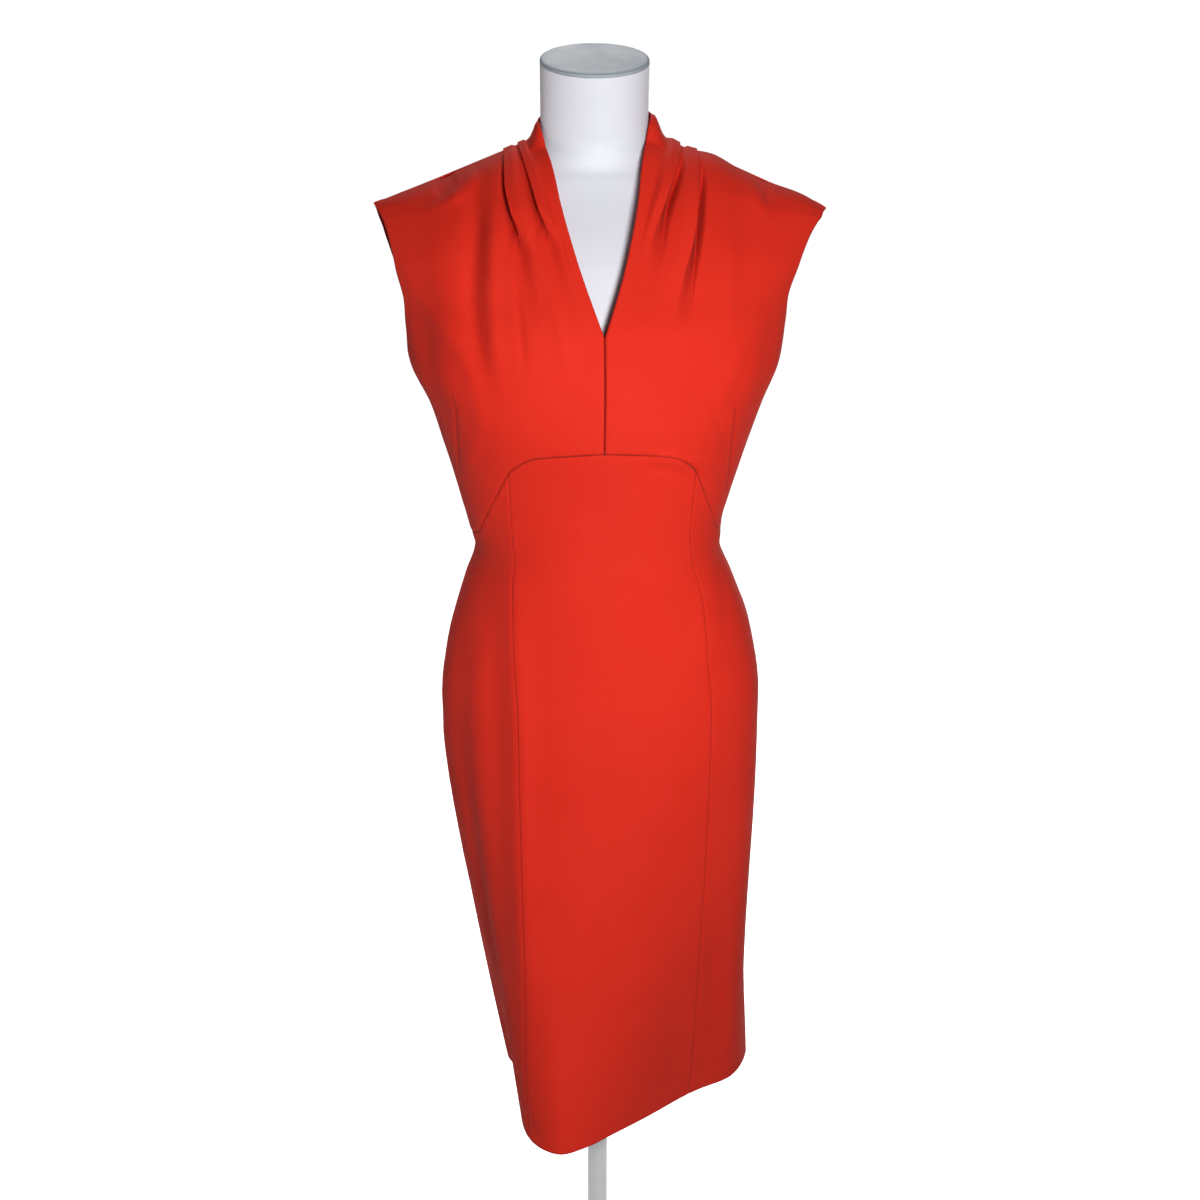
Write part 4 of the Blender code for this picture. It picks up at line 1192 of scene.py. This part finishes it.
@dataclass
class Bodice:
    """The bodice's two pleated fronts, whose band runs on round the back of the neck, and its two backs."""

    form: ClothForm
    gap: float = 0.3
    waist_gap: float = 0.4
    shoulder_gap: float = 0.5
    lower_rows: int = 36
    arm_rows: int = 14
    high_rows: int = 84
    neck_columns: int = 8
    base_columns: int = 9
    between_columns: int = 12
    outer_columns: int = 84
    collar_rows: int = 20
    back_arm_rows: int = 60
    back_columns: int = 100
    turn_columns: int = 9
    fold_columns: tuple[int, int, int] = (8, 6, 16)
    neck_samples: int = 131
    high_spread: float = 1.7
    outer_spread: float = 1.25
    back_spread: float = 0.7
    pleats_from: float = 0.8
    base_share: float = 0.6
    base_space: float = 0.4
    zip_end: float = 1512.0
    collar_top_depth: float = 48.0
    collar_back_height: float = 1536.0
    collar_lift: float = 0.2
    collar_bulge: float = 1.5
    collar_wave: float = 0.4
    collar_turn: float = 1.3
    fold_radius: float = 1.05
    fold_lead: float = 2.0
    fold_tail: float = 0.6
    trench_width: float = 2.9
    # shade_width: how far the painted shade reaches beyond a fold edge, in mm.
    shade_width: float = 4.0
    faded_half: float = 11.0
    pleat_levels: tuple[float, ...] = (1390.0, 1450.0, 1500.0, 1526.0)
    pleats: tuple[Pleat, ...] = (
        Pleat(Side.RIGHT, 42, 57.5, 69.5, 76.5, 1338, 5, 2.8, 7.0, 1462, 0.32, 1.5, 6.0, 0.45),
        Pleat(Side.RIGHT, 73.5, 83.5, 91, 90.5, 1338, 7, 3.4, 9.0, 1466, 0.36, 1.5, 6.0, 0.55),
        Pleat(Side.LEFT, 42, 57, 73.5, 81.6, 1385, 6, 3.0, 10.0, 1478, 0.9, 4.4, 1.5, 0.8),
        Pleat(Side.LEFT, 79, 91, 96, 98.6, 1338, 8, 3.4, 13.0, 1472, 1.0, 4.4, 1.5, 1.0),
    )
    right_creases: tuple[Crease, ...] = Crease.rows(
        (-3.6, 9, 0, -118, 1480, -121, 1431, -126, 1370, -122, 1330, -114, 1285),
        (3.4, 8, 0, -101, 1476, -103, 1430, -106, 1370, -103, 1320, -98, 1285),
        (-1.6, 5, 0, -86, 1410, -82, 1372, -79, 1331, -77, 1299),
        (1.4, 7, 0, -54, 1400, -47, 1370, -41, 1336, -37, 1300),
        (2.2, 9, 0, -177, 1372, -156, 1348, -133, 1315, -113, 1267),
        (-1.0, 6, 0, -184, 1395, -166, 1366, -146, 1335),
        (-2.0, 6, 0, -161, 1457, -148, 1467, -136, 1474),
        (2.2, 6, 0, -146, 1452, -128, 1465, -114, 1480),
        (1.2, 5, 0, -170, 1440, -150, 1452, -130, 1462),
        (-1.1, 1.7, 0.5, -146, 1277, -143, 1264, -142, 1225, -139, 1178),
        (1.6, 9, 0, -129, 1280, -121, 1266, -116, 1240),
        (2.0, 7, 0, -120, 1236, -128, 1216, -138, 1196),
        (-1.0, 5, 0, -150, 1240, -158, 1262, -168, 1284),
    )
    left_creases: tuple[Crease, ...] = Crease.rows(
        (-1.1, 1.7, 0.5, 129, 1264, 129, 1236, 129, 1190, 127, 1160),
        (-2.0, 5, 0, 154, 1468, 166, 1457, 166, 1446),
        (1.8, 7, 0, 146, 1464, 156, 1450, 160, 1434),
        (1.6, 9, 0, 145, 1335, 127, 1310, 114, 1278, 108, 1252),
        (-1.4, 6, 0, 104, 1274, 116, 1239, 126, 1213),
        (2.4, 4, 0, 38, 1222.5, 66, 1218.5, 90, 1208, 108, 1188, 118, 1168),
        (1.6, 9, 0, 126, 1450, 126, 1390, 120, 1330),
        (1.4, 8, 0, 60, 1400, 52, 1370, 46, 1320),
    )
    back_creases: tuple[tuple[float, ...], ...] = (
        (-2.0, 7, 0, 60, 1178, 92, 1160, 120, 1166),
        (-1.8, 5, 0, 72, 1118, 74, 1190, 76, 1262),
        (2.6, 12, 0, 60, 1300, 100, 1340, 150, 1360),
        (-2.0, 8, 0, 90, 1250, 130, 1275, 165, 1283),
        (2.4, 11, 0, 84, 1470, 92, 1430, 96, 1380),
    )

    def pleat_profile(self, pleat: Pleat, gap: float, hollow: Curve, covered: Curve) -> tuple[Array, Array, Array]:
        """A knife pleat across the cloth, from the neck side over its fold edge and back out below it.

        Args:
            pleat: the pleat.
            gap: how far the fold stands off what is under it, in mm.
            hollow: the height of the cloth under and beyond its edge, at offsets from that edge, in mm.
            covered: how far that cloth is covered, at such offsets, which sets its painted shade.

        Returns:
            Offsets along the cloth from the fold edge and heights, in mm, and how far the fold covers each, which
            sets its painted shade.
        """
        radius, lap = self.fold_radius, pleat.lap
        above, inside, below = self.fold_columns
        turn = np.radians(np.linspace(90, -90, self.turn_columns))
        top = np.linspace(-lap - self.fold_lead, -radius, above)[:-1]
        under = np.linspace(-radius, -lap, inside)[1:-1]
        bottom = np.linspace(-lap, pleat.hollow_at + self.fold_tail, below)[1:]
        low = hollow(-lap)
        blocks = (
            (top, np.full(len(top), gap + 2 * radius), 0 * top),
            (-radius + radius * np.cos(turn), gap + radius * (1 + np.sin(turn)), (1 - np.sin(turn)) / 2),
            (under, np.full(len(under), gap), np.ones(len(under))),
            (-lap - gap / 2 * np.cos(turn), low + (gap - low) / 2 * (1 + np.sin(turn)), np.ones(len(turn))),
            (bottom, hollow(bottom), covered(bottom)),
        )
        across, height, shade = (np.concatenate(parts) for parts in zip(*blocks))
        return across, height, shade

    def pleat_columns(self, pleat: Pleat, level: float, distances: Array, reach: Array) -> PleatColumns:
        """One pleat's columns along a row.

        Args:
            pleat: the pleat.
            level: the row's level.
            distances: distances along the row, in mm.
            reach: how far each lies from the centre line, in mm.

        Returns:
            The columns.
        """
        edges = (pleat.at_bust, pleat.at_chest, pleat.at_yoke, pleat.at_shoulder)
        edge = smooth(max(level, pleat.end), np.array(self.pleat_levels), np.array(edges))
        middle = where_crossed(distances, reach - edge)
        opened = ease((self.form.shoulder - level) / (self.form.shoulder - pleat.peak))
        fade = (pleat.peak - level) / (pleat.peak - pleat.end)
        folded = 1 - ease(fade / pleat.fold_share)
        gap = max((0.5 + (pleat.opening - 0.5) * opened) * (1 - ease(fade)), 0.02)
        depth = pleat.trench * opened * (1 - ease(fade))
        width = self.trench_width + pleat.widening * ease(fade / pleat.fold_share)
        # Painted shade under the fold, strongest where it is folded and open.
        painted_fold_shade = pleat.shade * folded * opened

        def hollow(offset: Array) -> Array:
            """The hollow's height at these offsets from the fold edge."""
            return -depth * bell(offset - pleat.hollow_at, width)

        def covered(offset: Array) -> Array:
            """How far the fold covers the cloth at these offsets from its edge, which sets its painted shade."""
            return bell(np.maximum(offset, 0), self.shade_width)

        across, height, shade = self.pleat_profile(pleat, gap, hollow, covered)
        flat = np.linspace(-self.faded_half, self.faded_half, len(across))
        offset = folded * across + (1 - folded) * flat
        return PleatColumns(
            middle + offset, folded * height + (1 - folded) * hollow(offset), painted_fold_shade * shade,
            lambda at: hollow(at - middle), lambda at: painted_fold_shade * covered(at - middle),
        )

    def front_row(self, level_of: Curve, level: float, side: Side, pleated: float) -> tuple[Array, ...]:
        """One row of a front half.

        Args:
            level_of: the row's levels by cloth angle.
            level: the level that its pleats and edges are read at.
            side: which half.
            pleated: 0 where the columns are spread evenly, 1 where they follow the pleats.

        Returns:
            Its levels, angles, heights and painted shades.
        """
        form = self.form
        distances, angles, points = form.along_row(level_of, 0, 90 * side.value)
        reach = np.abs(points[:, 0])
        start = form.neck_edge(distances, points, level, self.gap)
        stop = distances[-1] - form.arm_cut(level, self.gap, 1)
        inner, outer = (
            self.pleat_columns(pleat, level, distances, reach) for pleat in self.pleats if pleat.side is side
        )
        at_shoulder = ease((level - form.back_neck) / (form.shoulder - form.back_neck))
        base = start + (inner.at[0] - start) * self.base_share
        base += at_shoulder * (where_crossed(distances, reach - form.collar_base_half) - base)
        base = min(base, inner.at[0] - self.base_space)
        neck = np.linspace(start, base, self.neck_columns)[:-1]
        rise = np.linspace(0, 1, self.base_columns + 1)[:-1]
        climb = ease(np.linspace(0, 1, self.between_columns + 2)[1:-1])
        between = np.linspace(inner.at[-1], outer.at[0], self.between_columns + 2)[1:-1]
        share = np.linspace(0, 1, self.outer_columns + 1)[1:] ** self.outer_spread
        beyond = outer.at[-1] + (stop - outer.at[-1]) * share
        blocks = (
            (neck, 0 * neck, 0 * neck),
            (np.linspace(base, inner.at[0], self.base_columns + 1)[:-1], ease(rise) * inner.height[0], 0 * rise),
            (inner.at, inner.height, inner.shade),
            (between, (1 - climb) * inner.hollow(between) + climb * outer.height[0], inner.covered(between)),
            (outer.at, outer.height, outer.shade),
            (beyond, outer.hollow(beyond), outer.covered(beyond)),
        )
        at, height, shade = (np.concatenate(parts) for parts in zip(*blocks))
        princess = float(lookup(form.princess_line, form.princess_top))
        inside = self.neck_columns + self.base_columns + self.between_columns + len(inner.at)
        even = np.concatenate([
            np.linspace(start, princess, inside), np.linspace(princess, stop, len(at) - inside + 1)[1:],
        ])
        angle = np.interp(even + (at - even) * pleated, distances, angles)
        return level_of(angle), angle, height * pleated, shade * pleated

    def front_grid(self, side: Side) -> tuple[Array, Array, Array]:
        """The grid of a front half.

        Args:
            side: which half.

        Returns:
            Its points, in mm, their outward directions and their painted shades.
        """
        form = self.form
        plan = [
            (form.rising_row(part, self.waist_gap), form.underarm, self.pleats_from * part)
            for part in np.linspace(0, 1, self.lower_rows + 1)
        ]
        arm = np.linspace(form.underarm, form.v_bottom, self.arm_rows + 1)[1:]
        share = 1 - (1 - np.linspace(0, 1, self.high_rows)) ** self.high_spread
        high = form.v_bottom + (form.shoulder - form.v_bottom) * share
        for level in (*arm, *high[1:]):
            part = (level - form.underarm) / (form.v_bottom - form.underarm)
            part = self.pleats_from + (1 - self.pleats_from) * part
            plan.append((flat_row(level), level, part))
        rows = [self.front_row(level_of, level, side, float(ease(part))) for level_of, level, part in plan]
        points = np.array([form.surface(levels, angles) for levels, angles, *_ in rows])
        smooth_rows = np.array([
            form.surface(levels, np.linspace(angles[0], angles[-1], len(angles))) for levels, angles, *_ in rows
        ])
        facing = outward(smooth_rows)
        for k, (_, angles, *_) in enumerate(rows):
            even = np.linspace(angles[0], angles[-1], len(angles))
            order = np.argsort(even)
            facing[k] = np.stack([np.interp(angles, even[order], facing[k][order, n]) for n in range(3)], -1)
        points = points + np.array([row[2] for row in rows])[..., None] * unit(facing)
        points[-1, :, 1] = form.shoulder_y - self.shoulder_gap / 2
        return points, unit(facing), np.array([row[3] for row in rows])

    def neck_levels(self, side: Side) -> Array:
        """Where the back neck seam crosses the back's rings.

        Args:
            side: which half.

        Returns:
            Levels that are evenly spaced round the neck.
        """
        form = self.form
        levels = np.linspace(form.back_neck, form.shoulder, self.neck_samples)
        turns = []
        for level in levels:
            distances, _, points = form.along_row(flat_row(level), 180 * side.value, 90 * side.value)
            x, y = self.neck_oval(points)
            at = where_crossed(distances, np.hypot(x, y) - 1)
            turns.append(math.atan2(np.interp(at, distances, y), np.interp(at, distances, x)))
        wanted = np.linspace(math.radians(90), 0, self.collar_rows + 1)
        return np.interp(-wanted, -np.array(turns), levels)

    def neck_oval(self, points: Array) -> tuple[Array, Array]:
        """Sees points from above, in terms of the neck seam's oval, which is 1 from the middle.

        Args:
            points: (n, 3) points, in mm.

        Returns:
            Their x and y.
        """
        x = np.abs(points[:, 0]) / (self.form.collar_base_half + self.gap)
        y = (points[:, 1] - self.form.shoulder_y) / (self.form.collar_base_depth + self.gap)
        return x, y

    def back_grid(self, side: Side) -> tuple[Array, Array, Array]:
        """The grid of a back half.

        Args:
            side: which half.

        Returns:
            Its points, in mm, their outward directions, and the points of its neck seam, shoulder last.
        """
        form = self.form
        plan = [
            (form.rising_row(part, self.waist_gap), form.underarm) for part in np.linspace(0, 1, self.lower_rows + 1)
        ]
        arm = np.linspace(form.underarm, form.back_neck, self.back_arm_rows + 2)[1:-1]
        plan += [(flat_row(level), level) for level in (*arm, *self.neck_levels(side))]
        points, neck = [], []
        for level_of, level in plan:
            distances, angles, row = form.along_row(level_of, 180 * side.value, 90 * side.value)
            start = self.gap / 2
            if level >= form.back_neck:
                x, y = self.neck_oval(row)
                start = max(start, where_crossed(distances, np.hypot(x, y) - 1))
                neck.append(point_at(start, distances, row))
            stop = distances[-1] - form.arm_cut(level, self.gap, 2)
            at = start + (stop - start) * spread(self.back_columns, self.back_spread)
            angle = np.interp(at, distances, angles)
            points.append(form.surface(level_of(angle), angle))
        points = np.array(points)
        points[-1, :, 1] = form.shoulder_y + self.shoulder_gap / 2
        return points, outward(points), np.array(neck)

    def collar_grid(self, top_row: Array, neck: Array, side: Side) -> Array:
        """The band behind the shoulder seam, round to the centre back.

        Args:
            top_row: the points of the front's own top row, which it starts from.
            neck: the points of the back neck seam, shoulder last.
            side: which half.

        Returns:
            (rows, columns, 3) points, in mm.
        """
        grid = [top_row]
        share = np.linspace(0, 1, len(top_row))
        for k, seam in enumerate(neck[-2::-1], 1):
            part = k / (len(neck) - 1)
            turn = math.radians(90) * part
            base = seam + np.array([0, 0, self.collar_lift])
            inward = unit(np.array([-base[0], self.form.shoulder_y - base[1], 0]))
            base = base + inward * self.gap
            top = np.array([
                top_row[0, 0] * math.cos(turn),
                top_row[0, 1] + self.collar_top_depth * math.sin(turn),
                top_row[0, 2] + (self.collar_back_height - top_row[0, 2]) * ease(part),
            ])
            row = top + (base - top) * share[:, None]
            arch = np.sin(math.pi * share)
            arch = self.collar_bulge * arch + self.collar_wave * math.sin(k * self.collar_turn) * arch
            row = row + arch[:, None] * inward
            row[:, 0] = side.value * np.maximum(side.value * row[:, 0], self.gap / 2)
            grid.append(row)
        return np.array(grid)

    def build(self, material: bpy.types.Material) -> Array:
        """Builds the four pieces.

        Args:
            material: the cloth.

        Returns:
            The points of the band's centre back edge, top first, in mm.
        """
        for side, hand in ((Side.RIGHT, "right"), (Side.LEFT, "left")):
            points, facing, shade = self.front_grid(side)
            back_points, back_facing, neck = self.back_grid(side)
            front = Panel(
                f"front_bodice_{hand}", points, facing,
                {
                    "first": Border(Rim.SEAM, Rim.TURNED, self.form.v_bottom, 0.5),
                    "last": Border(Rim.SEAM, Rim.TURNED, self.form.underarm),
                    "bottom": WAIST_SEAM,
                },
                self.right_creases if side is Side.RIGHT else self.left_creases, (0.30, 0.43), 0.093,
                shade=shade,
            )
            height, _ = front.relief()
            top_row = (points + facing * height[..., None])[-1, : self.neck_columns]
            collar = self.collar_grid(top_row, neck, side)
            front.build(material, (collar,))
            Panel(
                f"back_bodice_{hand}", back_points, back_facing,
                {
                    "first": Border(Rim.ZIP, Rim.SEAM, self.zip_end),
                    "last": Border(Rim.SEAM, Rim.TURNED, self.form.underarm),
                    "bottom": WAIST_SEAM,
                },
                Crease.rows(*self.back_creases, mirror=side.value), (0.26, 0.42), 0.094,
            ).build(material)
        return collar[-1]


# ---------------------------------------------------------------- form and stand
@dataclass
class DressForm:
    """The covered limbless form and its neck cap."""

    sides: int = 120
    rows: int = 110
    gap: float = 0.3
    cap_thickness: float = 4.0
    cap_profile: tuple[tuple[float, float], ...] = (
        (0, 0.45), (0.5, 0.68), (1.6, 0.86), (3, 0.97), (6, 1), (12, 1), (25, 1),
    )
    stitches: int = 60
    stitch_part: tuple[float, float] = (0.18, 0.78)
    stitch_width: float = 0.75
    stitch_height: float = 0.5
    stitch_inset: float = 7.5
    slices: Table = Table("height half front back middle_x middle_y square rise", (
        (868, 140, 98, 102, 0, 0, 2.3, 0),
        (874, 149, 106, 110, 0, 0, 2.3, 0),
        (935, 153, 108, 112, 0, 0, 2.3, 0),
        (1006, 142, 100, 103, 0, 0, 2.3, 0),
        (1060, 126, 90, 86, 0, 0, 2.2, 0),
        (1102, 116, 83, 72, 0, 0, 2.2, 0),
        (1150, 128, 88, 78, 0, 0, 2.2, 0),
        (1205, 144, 102, 88, 0, 0, 2.3, 0),
        (1262, 160, 116, 96, 0, 2, 2.4, 0),
        (1300, 168, 117, 99, 0, 5, 2.4, 0),
        (1345, 170, 108, 97, 0, 8, 2.4, 0),
        (1385, 168, 94, 93, 0, 10, 2.3, 0),
        (1415, 168, 79, 83, 0, 10, 2.2, 0),
        (1440, 164, 64, 71, 0, 10, 2.1, 0),
        (1454, 156, 56, 65, 0, 10, 2.0, 0),
        (1464, 143, 51, 60, -1, 10, 2.0, 0),
        (1473, 123, 47, 55, -1, 10, 2.0, 0),
        (1482, 93, 43, 51, -1, 10, 2.0, 0),
        (1493, 67, 41, 48, -2, 9, 2.0, 0.03),
        (1507, 55, 41, 46, -2, 9, 2.0, 0.06),
        (1526, 52.6, 44, 46, -2, 8, 2.0, 0.1),
        (1581, 53, 52, 50, -2, 2, 2.05, 0.16),
    ))

    def slice_at(self, height: float, inset: float = 0.0, lift: float = 0.0) -> Array:
        """The points of one slice.

        Args:
            height: its height.
            inset: how far it is drawn in.
            lift: how far it is raised, all in mm.

        Returns:
            (sides, 3) points, in mm.
        """
        half, front, back, middle_x, middle_y, square, rise = map(float, self.slices.read(height).values())
        turn = np.radians(np.arange(self.sides) * 360 / self.sides)
        depth = np.where(np.cos(turn) >= 0, front, back) - inset
        x = middle_x + (half - inset) * signed_power(np.sin(turn), 2 / square)
        y = middle_y - depth * signed_power(np.cos(turn), 2 / square)
        return np.stack([x, y, height + lift + rise * (y - middle_y)], -1)

    def loft(self, name: str, rings: list[Array], material: bpy.types.Material) -> bpy.types.Object:
        """A closed body through rings of points: the first ring extruded through the others, and capped.

        Args:
            name: its name.
            rings: the rings' points, in mm.
            material: its material.

        Returns:
            The object.
        """
        bm = bmesh.new()
        verts = bmesh.ops.create_circle(bm, segments=self.sides, radius=1)["verts"]
        start = edges = bm.edges[:]
        for vert, point in zip(verts, rings[0]):
            vert.co = Vector(point * MM)
        for ring in rings[1:]:
            made = bmesh.ops.extrude_edge_only(bm, edges=edges)["geom"]
            moved = [item for item in made if isinstance(item, bmesh.types.BMVert)]
            edges = [item for item in made if isinstance(item, bmesh.types.BMEdge)]
            for vert, point in zip(moved, ring):
                vert.co = Vector(point * MM)
        bmesh.ops.edgeloop_fill(bm, edges=start)
        bmesh.ops.edgeloop_fill(bm, edges=[edge for edge in edges if edge.is_boundary])
        face_outwards(bm)
        return add_object(name, bm, material)

    def build(self) -> None:
        """Builds the cover, the cap and the cap's stitching."""
        knots = self.slices.column("height")
        heights = np.interp(np.linspace(0, 1, self.rows), np.linspace(0, 1, len(knots)), knots)
        cover = self.loft("form_torso_cover", [self.slice_at(h) for h in heights], FORM_COVER.material())
        place_piece(cover, "form_torso")
        top = float(knots[-1])
        thick = self.cap_thickness
        rings = [self.slice_at(top, 0.4, self.gap), self.slice_at(top, 0, self.gap + 0.5)]
        rings += [self.slice_at(top, inset, thick * share) for inset, share in self.cap_profile]
        cap = self.loft("neck_cap_cover", rings, NECK_CAP.material())
        place_piece(cap, "form_neck_cap")
        self.build_stitches(self.slice_at(top, self.stitch_inset, thick), "neck_cap_stitches")

    def build_stitches(self, ring: Array, name: str) -> None:
        """Lays a ring of stitches on the cap.

        Args:
            ring: the points that they follow, in mm.
            name: the stitches' name.
        """
        loop = np.concatenate([ring, ring[:1]])
        run = run_along(loop)
        bm = bmesh.new()
        for k in range(self.stitches):
            span = run[-1] / self.stitches
            ends = [point_at((k + part) * span, run, loop) for part in self.stitch_part]
            way = Vector(ends[1] - ends[0])
            made = bmesh.ops.create_icosphere(bm, subdivisions=1, radius=0.5)["verts"]
            turn = way.to_track_quat("X", "Z").to_matrix().to_4x4()
            size = Matrix.Diagonal((way.length, self.stitch_width, self.stitch_height, 1))
            middle = Matrix.Translation(Vector((ends[0] + ends[1]) / 2 * MM))
            bmesh.ops.transform(bm, matrix=middle @ turn @ (size * MM).to_4x4(), verts=made)
        place_piece(add_object(name, bm, STITCH.material()))


@dataclass
class Stand:
    """The turned base and pole."""

    base_radius: float = 178.0
    base_thickness: float = 12.0
    pole_radius: float = 11.0
    pole_top: float = 867.7
    hub_width: float = 12.0
    hub_height: float = 28.0
    gap: float = 0.3
    segments: int = 96

    def turned(self, name: str, profile: tuple[tuple[float, float], ...], bevel: float) -> bpy.types.Object:
        """A solid turned about the stand's axis.

        Args:
            name: its name.
            profile: its outline, as (radius, height) pairs in mm.
            bevel: how far its edges are rounded, in mm.

        Returns:
            The object.
        """
        bm = bmesh.new()
        verts = [bm.verts.new((radius * MM, 0, height * MM)) for radius, height in profile]
        edges = [bm.edges.new(pair) for pair in zip(verts, verts[1:])]
        bmesh.ops.bevel(
            bm, geom=verts[1:-1], offset=bevel * MM, segments=3, profile=0.5, affect="VERTICES", material=-1,
        )
        bmesh.ops.spin(
            bm, geom=bm.verts[:] + bm.edges[:], axis=(0, 0, 1), cent=(0, 0, 0), angle=2 * math.pi,
            steps=self.segments, use_merge=True,
        )
        face_outwards(bm)
        return add_object(name, bm, STAND_PAINT.material())

    def build(self) -> None:
        """Builds the base and the pole."""
        hub = self.pole_radius + self.hub_width
        thick = self.base_thickness
        hub_top = thick + self.hub_height
        base = self.turned("stand_base", (
            (0, 0), (self.base_radius - 2, 0), (self.base_radius, 3), (self.base_radius, thick - 4),
            (self.base_radius - 4, thick), (hub + 4, thick + 2), (hub, thick + 6), (hub - 3, hub_top - 2),
            (hub - 6, hub_top), (0, hub_top),
        ), 1.0)
        place_piece(base, "form_base")
        bottom = hub_top + self.gap
        top = self.pole_top
        pole = self.turned("stand_pole", (
            (0, bottom), (self.pole_radius, bottom), (self.pole_radius, top - 34), (self.pole_radius + 5, top - 30),
            (self.pole_radius + 5, top - 5), (self.pole_radius + 24, top - 3), (self.pole_radius + 24, top), (0, top),
        ), 0.8)
        place_piece(pole, "form_pole")


# ---------------------------------------------------------------- zip
@dataclass
class Zip:
    """The concealed zip down the centre back: its teeth; its slider and pull are nodes."""

    form: ClothForm
    bottom: float = 1010.0
    pitch: float = 1.5
    tooth: tuple[float, float, float] = (1.5, 0.8, 0.9)
    stagger: float = 0.35
    depth: float = 0.9
    samples: int = 400
    hidden_rows: int = 3

    def path(self, band_edge: Array) -> Array:
        """The zip's line down the centre back, from under the slider to its end.

        Args:
            band_edge: the points of the neck band's centre back edge, top first, in mm.

        Returns:
            Its points, in mm.
        """
        levels = np.linspace(self.form.back_neck - 1, self.bottom, self.samples)
        line = self.form.surface(levels, np.full(len(levels), 180.0))
        line[:, 0] = 0
        above = band_edge[self.hidden_rows : -1] * (0, 1, 1)
        return np.concatenate([above, line])

    def build(self, band_edge: Array) -> None:
        """Builds the teeth, in the tape's material.

        Args:
            band_edge: the points of the neck band's centre back edge, top first, in mm.
        """
        line = self.path(band_edge)
        run = run_along(line)
        count = int(run[-1] / self.pitch)
        bm = bmesh.new()
        for k in range(count):
            at = run[-1] * (k + 0.5) / count
            point, ahead = point_at(at, run, line), point_at(min(at + 1, run[-1]), run, line)
            down = Vector(unit(ahead - point + np.array([0, 0, -1e-6])))
            out = down.cross(Vector((1, 0, 0)))
            out = out if out.y > 0 else -out
            turn = Matrix((Vector((1, 0, 0)), down, out)).transposed().to_4x4()
            side = self.stagger if k % 2 else -self.stagger
            place = Vector(point) + out * (-self.depth) + Vector((side, 0, 0))
            made = bmesh.ops.create_cube(bm, size=1)["verts"]
            size = Matrix.Diagonal((*self.tooth, 1))
            bmesh.ops.transform(bm, matrix=Matrix.Scale(MM, 4) @ Matrix.Translation(place) @ turn @ size, verts=made)
        bmesh.ops.recalc_face_normals(bm, faces=bm.faces[:])
        place_piece(add_object("zip_teeth", bm, ZIP_TAPE.material()))


# ---------------------------------------------------------------- studio
@dataclass
class Studio:
    """A plain pale floor, soft lights and the camera."""

    camera_place: tuple = (-0.1526, -2.4953, 1.93)
    target: tuple = (0.0030, 0.0, 1.0304)
    lens: float = 76.99
    sensor: float = 36.0
    floor_radius: float = 30.0
    floor_glow: float = 0.95
    sky_seen: float = 1.0
    sky_light: float = 0.09
    lights: tuple[tuple, ...] = (
        ("key_light", (0.21, -1.42, 1.41), 0.34, 22.3),
        ("side_light", (-2.0, 0.4, 0.85), 0.5, 7),
        ("high_light", (0.0, 1.9, 3.1), 1.2, 42),
        ("back_light", (0.5, 2.6, 0.9), 1.0, 20),
    )

    def build_floor(self) -> None:
        """Builds the floor, a wide pale disc."""
        bm = bmesh.new()
        bmesh.ops.create_circle(bm, cap_ends=True, segments=96, radius=self.floor_radius)
        floor = add_object("studio_floor", bm, FLOOR.material())
        floor.visible_diffuse = False
        shader = floor.data.materials[0].node_tree.nodes["Principled BSDF"]
        shader.inputs["Emission Color"].default_value = (1, 1, 1, 1)
        shader.inputs["Emission Strength"].default_value = self.floor_glow

    def build_light(self, name: str, place: tuple, size: float, power: float) -> None:
        """Adds a soft square light that faces the dress.

        Args:
            name: its name.
            place: where it stands, in metres.
            size: its side, in metres.
            power: its power, in watts.
        """
        data = bpy.data.lights.new(name, "AREA")
        data.energy = power
        data.shape = "SQUARE"
        data.size = size
        light = self.placed(name, data, place)
        light.visible_camera = False

    def placed(self, name: str, data: bpy.types.ID, place: tuple) -> bpy.types.Object:
        """Sets a light or a camera somewhere, facing the dress.

        Args:
            name: its name.
            data: the light or camera.
            place: where it stands, in metres.

        Returns:
            The object.
        """
        obj = bpy.data.objects.new(name, data)
        bpy.context.scene.collection.objects.link(obj)
        obj.location = place
        obj.rotation_euler = (Vector(self.target) - Vector(place)).to_track_quat("-Z", "Y").to_euler()
        return obj

    def build(self) -> None:
        """Builds the floor, the lights, the surroundings and the camera."""
        self.build_floor()
        for light in self.lights:
            self.build_light(*light)
        world = bpy.data.worlds.new("studio")
        world.use_nodes = True
        sky = world.node_tree.nodes["Background"]
        sky.inputs["Color"].default_value = (1, 1, 1, 1)
        graph = Graph(world.node_tree)
        seen = graph.add("ShaderNodeLightPath").outputs["Is Camera Ray"]
        strength = graph.math("MULTIPLY_ADD", seen, self.sky_seen - self.sky_light, self.sky_light)
        world.node_tree.links.new(strength, sky.inputs["Strength"])
        bpy.context.scene.world = world
        bpy.context.scene.view_settings.view_transform = "Standard"
        data = bpy.data.cameras.new("camera")
        data.lens = self.lens
        data.sensor_width = self.sensor
        bpy.context.scene.camera = self.placed("camera", data, self.camera_place)


def dress_nodes() -> None:
    """Gives the slider and the pull tab, which keep their solids, their metal."""
    metal = ZIP_METAL.material()
    for name in ("zip_slider", "zip_pull"):
        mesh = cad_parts[name].data
        mesh.materials.clear()
        mesh.materials.append(metal)


def main() -> None:
    """Builds the whole scene."""
    logging.basicConfig(level=logging.INFO, format="%(message)s")
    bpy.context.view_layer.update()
    form = ClothForm()
    cloth = Crepe().material()
    DressForm().build()
    Stand().build()
    Skirt(form).build(cloth)
    band_edge = Bodice(form).build(cloth)
    Zip(form).build(band_edge)
    dress_nodes()
    Studio().build()


if __name__ == "__main__":
    main()
